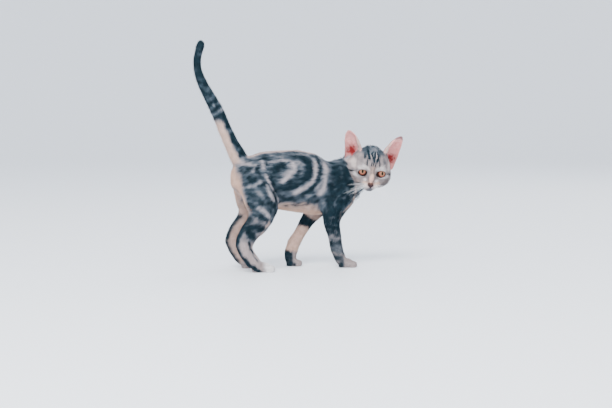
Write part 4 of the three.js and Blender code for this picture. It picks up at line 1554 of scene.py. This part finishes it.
def makeEyeMaterial():
    material, tree, shader = newMaterial("amberEye")
    place = readMark(tree, "irisPlace", "Vector")
    split = tree.nodes.new("ShaderNodeSeparateXYZ")
    plug(tree, split.inputs[0], place)
    across, up = split.outputs[0], split.outputs[1]
    out = vectorNode(tree, "LENGTH", place)
    # noise that runs out from the pupil in rays
    rays = vectorNode(tree, "SCALE", vectorNode(tree, "NORMALIZE", place), scale=3.0)
    rays = vectorNode(tree, "MULTIPLY_ADD", place, (0.12, 0.12, 0.12), rays)
    fibres = rangeNode(tree, noiseNode(tree, rays, 5.0, 4), 0.3, 0.7)
    iris = eyeballPlan["iris"]
    colour = mixNode(tree, fibres, eyeColours["copper"], eyeColours["peach"])
    low = rangeNode(tree, mathNode(tree, "MULTIPLY", up, -1.0), -0.5, 3.6)
    colour = mixNode(tree, mathNode(tree, "MULTIPLY", low, 0.4), colour, eyeColours["peach"])
    # the iris darker towards its top, as painted shade under the upper lid
    high = rangeNode(tree, up, 0.5, 4.6, 0.0, 0.55)
    colour = mixNode(tree, high, colour, eyeColours["outer"])
    near = rangeNode(tree, out, 2.4, 4.4, 0.75, 0.0)
    colour = mixNode(tree, near, colour, eyeColours["inner"])
    colour = mixNode(tree, rangeNode(tree, out, iris - 2.3, iris - 0.8), colour, eyeColours["outer"])
    colour = mixNode(tree, rangeNode(tree, out, iris - 0.3, iris + 0.1), colour, eyeColours["edge"])
    colour = mixNode(tree, rangeNode(tree, out, iris + 0.5, iris + 0.9), colour, eyeColours["white"])
    wide = mathNode(tree, "POWER", mathNode(tree, "DIVIDE", across, eyeballPlan["pupilWide"]), 2.0)
    high = mathNode(tree, "POWER", mathNode(tree, "DIVIDE", up, eyeballPlan["pupilHigh"]), 2.0)
    pupil = rangeNode(tree, mathNode(tree, "ADD", wide, high), 0.85, 1.15)
    colour = mixNode(tree, pupil, eyeColours["pupil"], colour)
    plug(tree, shader.inputs["Base Color"], colour)
    shader.inputs["Roughness"].default_value = 0.4
    shader.inputs["Specular IOR Level"].default_value = 0.02
    shader.inputs["Coat Weight"].default_value = 0.12
    shader.inputs["Coat Roughness"].default_value = 0.03
    return material


eyeMaterial = makeEyeMaterial()
for eyeSide in (-1, 1):
    makeEye(eyeSide)
print("eyes made")

# the nose leather: a pad, broad at the top, with a comma of a nostril on each side
nosePlan = {
    "halfWide": 4.5,
    "halfHigh": 2.8,
    "deep": 3.0,
    "forward": 0.4,
    "dip": 0.9,  # of the top edge, at the middle
    "tilt": -8,
    "nostril": (2.9, -0.5),
    "nostrilDeep": 1.5,
    "groove": 0.5,
}

noseColours = {
    "light": (0.030, 0.010, 0.013, 1),
    "dark": (0.014, 0.005, 0.007, 1),
    "edge": (0.010, 0.005, 0.005, 1),  # of the nostrils and the middle groove too, there as painted shade in their hollows
}


def makeNose():
    nose = newBall("noseLeather", 96, 64)
    points = placesOf(nose.data)
    ahead, aside, up = points[:, 2], points[:, 0], points[:, 1]
    squareUp = np.sign(up) * np.abs(up) ** 0.85
    wide = nosePlan["halfWide"] * (0.5 + 0.5 * ease(up, -1.0, 0.35)) * (1 - 0.12 * ease(up, 0.6, 1.0))
    y = aside * wide
    z = squareUp * nosePlan["halfHigh"] * np.where(up > 0, 0.82, 1.12)
    z = z - nosePlan["dip"] * np.exp(-((y / 1.6) ** 2)) * ease(up, 0, 0.7)
    x = ahead * nosePlan["deep"] * (1 - 0.1 * up)
    hole = 0
    for side in (-1, 1):
        dy, dz = y - side * nosePlan["nostril"][0], z - nosePlan["nostril"][1]
        turned = side * dy * 0.82 + dz * 0.57
        other = -side * dy * 0.57 + dz * 0.82
        hole = hole + np.exp(-((turned / 1.25) ** 2) - (other / 0.62) ** 2)
    slit = np.exp(-((y / 0.35) ** 2)) * ease(-z, -0.4, 0.8)
    front = ease(ahead, 0.05, 0.4)
    x = x - front * (hole * nosePlan["nostrilDeep"] + slit * nosePlan["groove"])
    tilt = math.radians(nosePlan["tilt"])
    x, z = x * math.cos(tilt) - z * math.sin(tilt), x * math.sin(tilt) + z * math.cos(tilt)
    local = np.stack([x + nosePlan["forward"], y, z - noseLower], 1)
    setPlaces(nose.data, fromHead(toHead(middleOf("nose")) + local))
    setAttribute(nose.data, "nostril", np.clip(hole + 0.6 * slit, 0, 1) * front)
    setAttribute(nose.data, "noseEdge", 1 - ease(ahead, 0.1, 0.55))
    smoothOutside(nose)
    material, tree, shader = newMaterial("noseSkin")
    cells = tree.nodes.new("ShaderNodeTexVoronoi")
    plug(tree, cells.inputs["Vector"], objectPlace(tree))
    cells.inputs["Scale"].default_value = 2600
    soft = rangeNode(tree, noiseNode(tree, objectPlace(tree), 500), 0.3, 0.7)
    colour = mixNode(tree, soft, noseColours["dark"], noseColours["light"])
    # the nostrils and the groove below them take the dark edge colour as painted shade in these hollows
    for mark in ("noseEdge", "nostril"):
        colour = mixNode(tree, readMark(tree, mark), colour, noseColours["edge"])
    plug(tree, shader.inputs["Base Color"], colour)
    shader.inputs["Roughness"].default_value = 0.48
    shader.inputs["Specular IOR Level"].default_value = 0.2
    addBump(tree, shader, cells.outputs["Distance"], 0.0002, 0.5)
    nose.data.materials.append(material)
    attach(nose, "root")
    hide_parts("nose")


makeNose()
print("nose made")

# whiskers and brow hairs, on the head's own axes: first root, last root, how many, the way they
# point, length and droop
whiskerPlan = {
    "upperRow": ((31, 6.5, -18.5), (27, 10.5, -17), 4, (0.3, 1, -0.1), 32, 3),
    "middleRow": ((31.5, 6.8, -20.5), (26.5, 11, -19.5), 5, (0.3, 1, -0.42), 42, 4),
    "lowerRow": ((31, 6.6, -22.5), (27, 10.2, -21.8), 4, (0.25, 1, -0.72), 40, 4),
    "brow": ((22, 12, 9.5), (20.5, 16, 9.5), 3, (0.45, 0.35, 0.85), 15, 3),
    "cheek": ((10, 28, -9), (9, 28, -13), 2, (0.0, 1, -0.1), 16, 2),
}
whiskerRadius = 0.14
whiskerSides = 5


def tubes(name, lines, radii):
    # tapering tubes along the lines, all joined as one mesh
    sides = whiskerSides
    turns = np.linspace(0, 2 * math.pi, sides, endpoint=False)
    points, faces = [], []
    for line, radius in zip(lines, radii):
        start = len(points)
        along = unit(np.gradient(line, axis=0))
        first = unit(np.cross(along, np.array([0.3, 0.2, 0.93])))
        second = np.cross(along, first)
        steps = len(line)
        for k in range(steps):
            wide = radius * mm * (1 - 0.85 * (k / (steps - 1)) ** 1.3)
            for turn in turns:
                points.append(line[k] + (first[k] * math.cos(turn) + second[k] * math.sin(turn)) * wide)
            if k:
                for n in range(sides):
                    a = start + (k - 1) * sides + n
                    b = start + (k - 1) * sides + (n + 1) % sides
                    faces += [(a, b, b + sides), (a, b + sides, a + sides)]
        points += [line[0], line[-1]]
        top = start + (steps - 1) * sides
        for n in range(sides):
            faces.append((start + (n + 1) % sides, start + n, len(points) - 2))
            faces.append((top + n, top + (n + 1) % sides, len(points) - 1))
    return meshFrom(name, np.array(points), np.array(faces))


def makeWhiskers():
    lines, radii = [], []
    tree = surfaceTree(skin.data, placesOf(skin.data))
    for row, (first, last, count, way, length, droop) in whiskerPlan.items():
        for side in (-1, 1):
            for k in range(count):
                t = k / (count - 1)
                root = np.array(first) * (1 - t) + np.array(last) * t
                place = np.array(tree.find_nearest(Vector(fromHead(root * (1, side, 1))))[0])
                swing = np.array(way) * (1, side, 1) + np.array([-0.35 * t, 0, 0])
                swing = unit(swing + dice.normal(0, 0.07, 3))
                reach = length * (0.75 + 0.25 * dice.random()) * (1 - 0.15 * abs(t - 0.5))
                steps = np.linspace(0, 1, 11)[:, None]
                local = swing * steps * reach + np.array([-0.12, 0, 0]) * steps**2 * reach
                local = local - np.array([0, 0, 1]) * steps**2 * droop
                lines.append(place + local @ headAxes * mm)
                radii.append(whiskerRadius * (0.6 if row in ("brow", "cheek") else 1.0))
    whiskers = tubes("whiskers", lines, radii)
    material, tree, shader = newMaterial("whiskerHair")
    soft = rangeNode(tree, noiseNode(tree, objectPlace(tree), 300), 0.3, 0.7)
    plug(tree, shader.inputs["Base Color"], mixNode(tree, soft, (0.82, 0.81, 0.80, 1), (0.95, 0.95, 0.95, 1)))
    shader.inputs["Roughness"].default_value = 0.35
    whiskers.data.materials.append(material)
    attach(whiskers, "root")


makeWhiskers()
print("whiskers made")

# the cream fringe on the inner edge of each ear, which leans out over the hollow
fringePlan = {"count": 520, "from": -26, "to": 14, "edge": -0.68, "length": 6.5, "width": 0.17}


def makeFringe():
    places, normals = placesOf(skin.data), normalsOf(skin.data)
    tree = surfaceTree(skin.data, places)
    h = toHead(places)
    ear = share(weights, "ear")
    roots, ways, lengths, patchPlaces = [], [], [], []
    for side in (-1, 1):
        local, wide = acrossEar(h, side)
        up, across, front = earAxes(side)[1:]
        good = (ear > 0.15) & (h[:, 1] * side > 0) & (wide < fringePlan["edge"]) & (wide > -1.02)
        good &= (local[:, 0] > fringePlan["from"]) & (local[:, 0] < fringePlan["to"])
        good &= (normals @ headAxes.T) @ front > -0.1
        chosen = dice.choice(np.where(good)[0], fringePlan["count"])
        roots.append(places[chosen] + dice.normal(0, 0.3, (len(chosen), 3)) * mm)
        fade = 1 - ease(local[chosen, 0], -6, fringePlan["to"])
        way = up * 0.95 + front * 0.28 + across * (0.15 + 0.5 * fade[:, None])
        ways.append(unit(way + dice.normal(0, 0.16, way.shape)) @ headAxes)
        lengths.append(fringePlan["length"] * (0.35 + 0.65 * fade) * (0.6 + 0.5 * dice.random(len(chosen))))
        # the ears' own unwrap: along each, and across it, one ear beside the other
        patchPlaces.append(np.stack([local[chosen, 0], wide[chosen] + 0.25 * side], 1))
    roots, ways, lengths = np.vstack(roots), np.vstack(ways), np.concatenate(lengths)
    place, normal = settled(tree, roots)
    middle = place + (ways * 0.5 + normal * 0.12) * lengths[:, None] * mm
    tip = place + (ways * 0.98 + normal * 0.1) * lengths[:, None] * mm
    width = fringePlan["width"] * (0.7 + 0.6 * dice.random(len(lengths)))
    values = {mark: np.zeros(len(lengths)) for mark in markNames}
    values["warm"] += 0.8
    values["white"] += 0.3
    values["tuftTone"] = dice.random(len(lengths))
    uv = np.vstack(patchPlaces)
    piece = buildTufts("earFringe", (place, normal), (middle, normal), (tip, normal), width, values, uv)
    piece.data.materials.append(furMaterial)
    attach(piece, "root")


makeFringe()
print("ear fringe made")
view = {"azimuth": -20, "away": 1914.1, "aside": 12.6, "high": 264, "down": 4.811, "lens": 70.59}


def makeCamera():
    turn, down = math.radians(view["azimuth"]), math.radians(view["down"])
    ahead = Vector((-math.sin(turn), math.cos(turn), 0))
    right = Vector((math.cos(turn), math.sin(turn), 0))
    deselectAll()
    bpy.ops.object.camera_add()
    camera = bpy.context.object
    level = right * view["aside"] * mm - ahead * view["away"] * mm
    camera.location = level + Vector((0, 0, view["high"] * mm))
    look = ahead * math.cos(down) - Vector((0, 0, math.sin(down)))
    camera.rotation_euler = look.to_track_quat("-Z", "Y").to_euler()
    camera.data.lens = view["lens"]
    camera.data.sensor_width = 36
    camera.data.clip_start, camera.data.clip_end = 0.05, 60
    bpy.context.scene.camera = camera


makeCamera()

# a round pale floor that sweeps up far behind, all one sheet
studio = {
    "floor": 3.6,  # metres, like all in this dictionary
    "sweep": 2.6,
    "wall": 1.2,
    "paper": (0.84, 0.87, 0.91, 1),
    "sky": (0.87, 0.92, 1.0, 1),
    "skyStrength": 1.75,
    "lamps": {
        "key": ((-1.2, -1.6, 2.4), 1.4, 135),
        "fill": ((1.8, 0.9, 1.8), 1.6, 24),
        "catch": ((-0.95, -1.7, 0.9), 0.25, 16),
    },
}


def makeStudio():
    deselectAll()
    bpy.ops.mesh.primitive_circle_add(vertices=96, radius=studio["floor"], fill_type="NGON")
    floor = bpy.context.object
    floor.name = "floor"
    bpy.ops.object.mode_set(mode="EDIT")
    bpy.ops.mesh.select_mode(type="EDGE")
    bpy.ops.mesh.select_all(action="SELECT")
    bpy.ops.mesh.region_to_loop()
    reach, steps = studio["floor"], 10
    for step in range(1, steps + 2):
        turn = math.radians(70) * min(step, steps) / steps
        wider = studio["floor"] + studio["sweep"] * math.sin(turn)
        last = math.radians(70) * (min(step, steps) - 1) / steps
        rise = studio["sweep"] * (math.cos(last) - math.cos(turn))
        if step > steps:
            wider, rise = reach + 0.2, studio["wall"]
        bpy.ops.mesh.extrude_edges_move(TRANSFORM_OT_translate={"value": (0, 0, rise)})
        bpy.ops.transform.resize(value=(wider / reach, wider / reach, 1))
        reach = wider
    bpy.ops.mesh.select_all(action="SELECT")
    bpy.ops.mesh.normals_make_consistent(inside=True)
    bpy.ops.object.mode_set(mode="OBJECT")
    bpy.ops.object.shade_smooth()
    paper = bpy.data.materials.new("palePaper")
    paper.use_nodes = True
    paper.node_tree.nodes["Principled BSDF"].inputs["Base Color"].default_value = studio["paper"]
    floor.data.materials.append(paper)
    world = bpy.data.worlds.new("studio")
    bpy.context.scene.world = world
    world.use_nodes = True
    world.node_tree.nodes["Background"].inputs["Color"].default_value = studio["sky"]
    world.node_tree.nodes["Background"].inputs["Strength"].default_value = studio["skyStrength"]
    for name, (place, size, power) in studio["lamps"].items():
        bpy.ops.object.light_add(type="AREA", location=place)
        light = bpy.context.object
        light.name = name
        light.data.size = size
        light.data.energy = power
        light.rotation_euler = (-Vector(place)).to_track_quat("-Z", "Y").to_euler()


makeStudio()
print("studio and camera made")
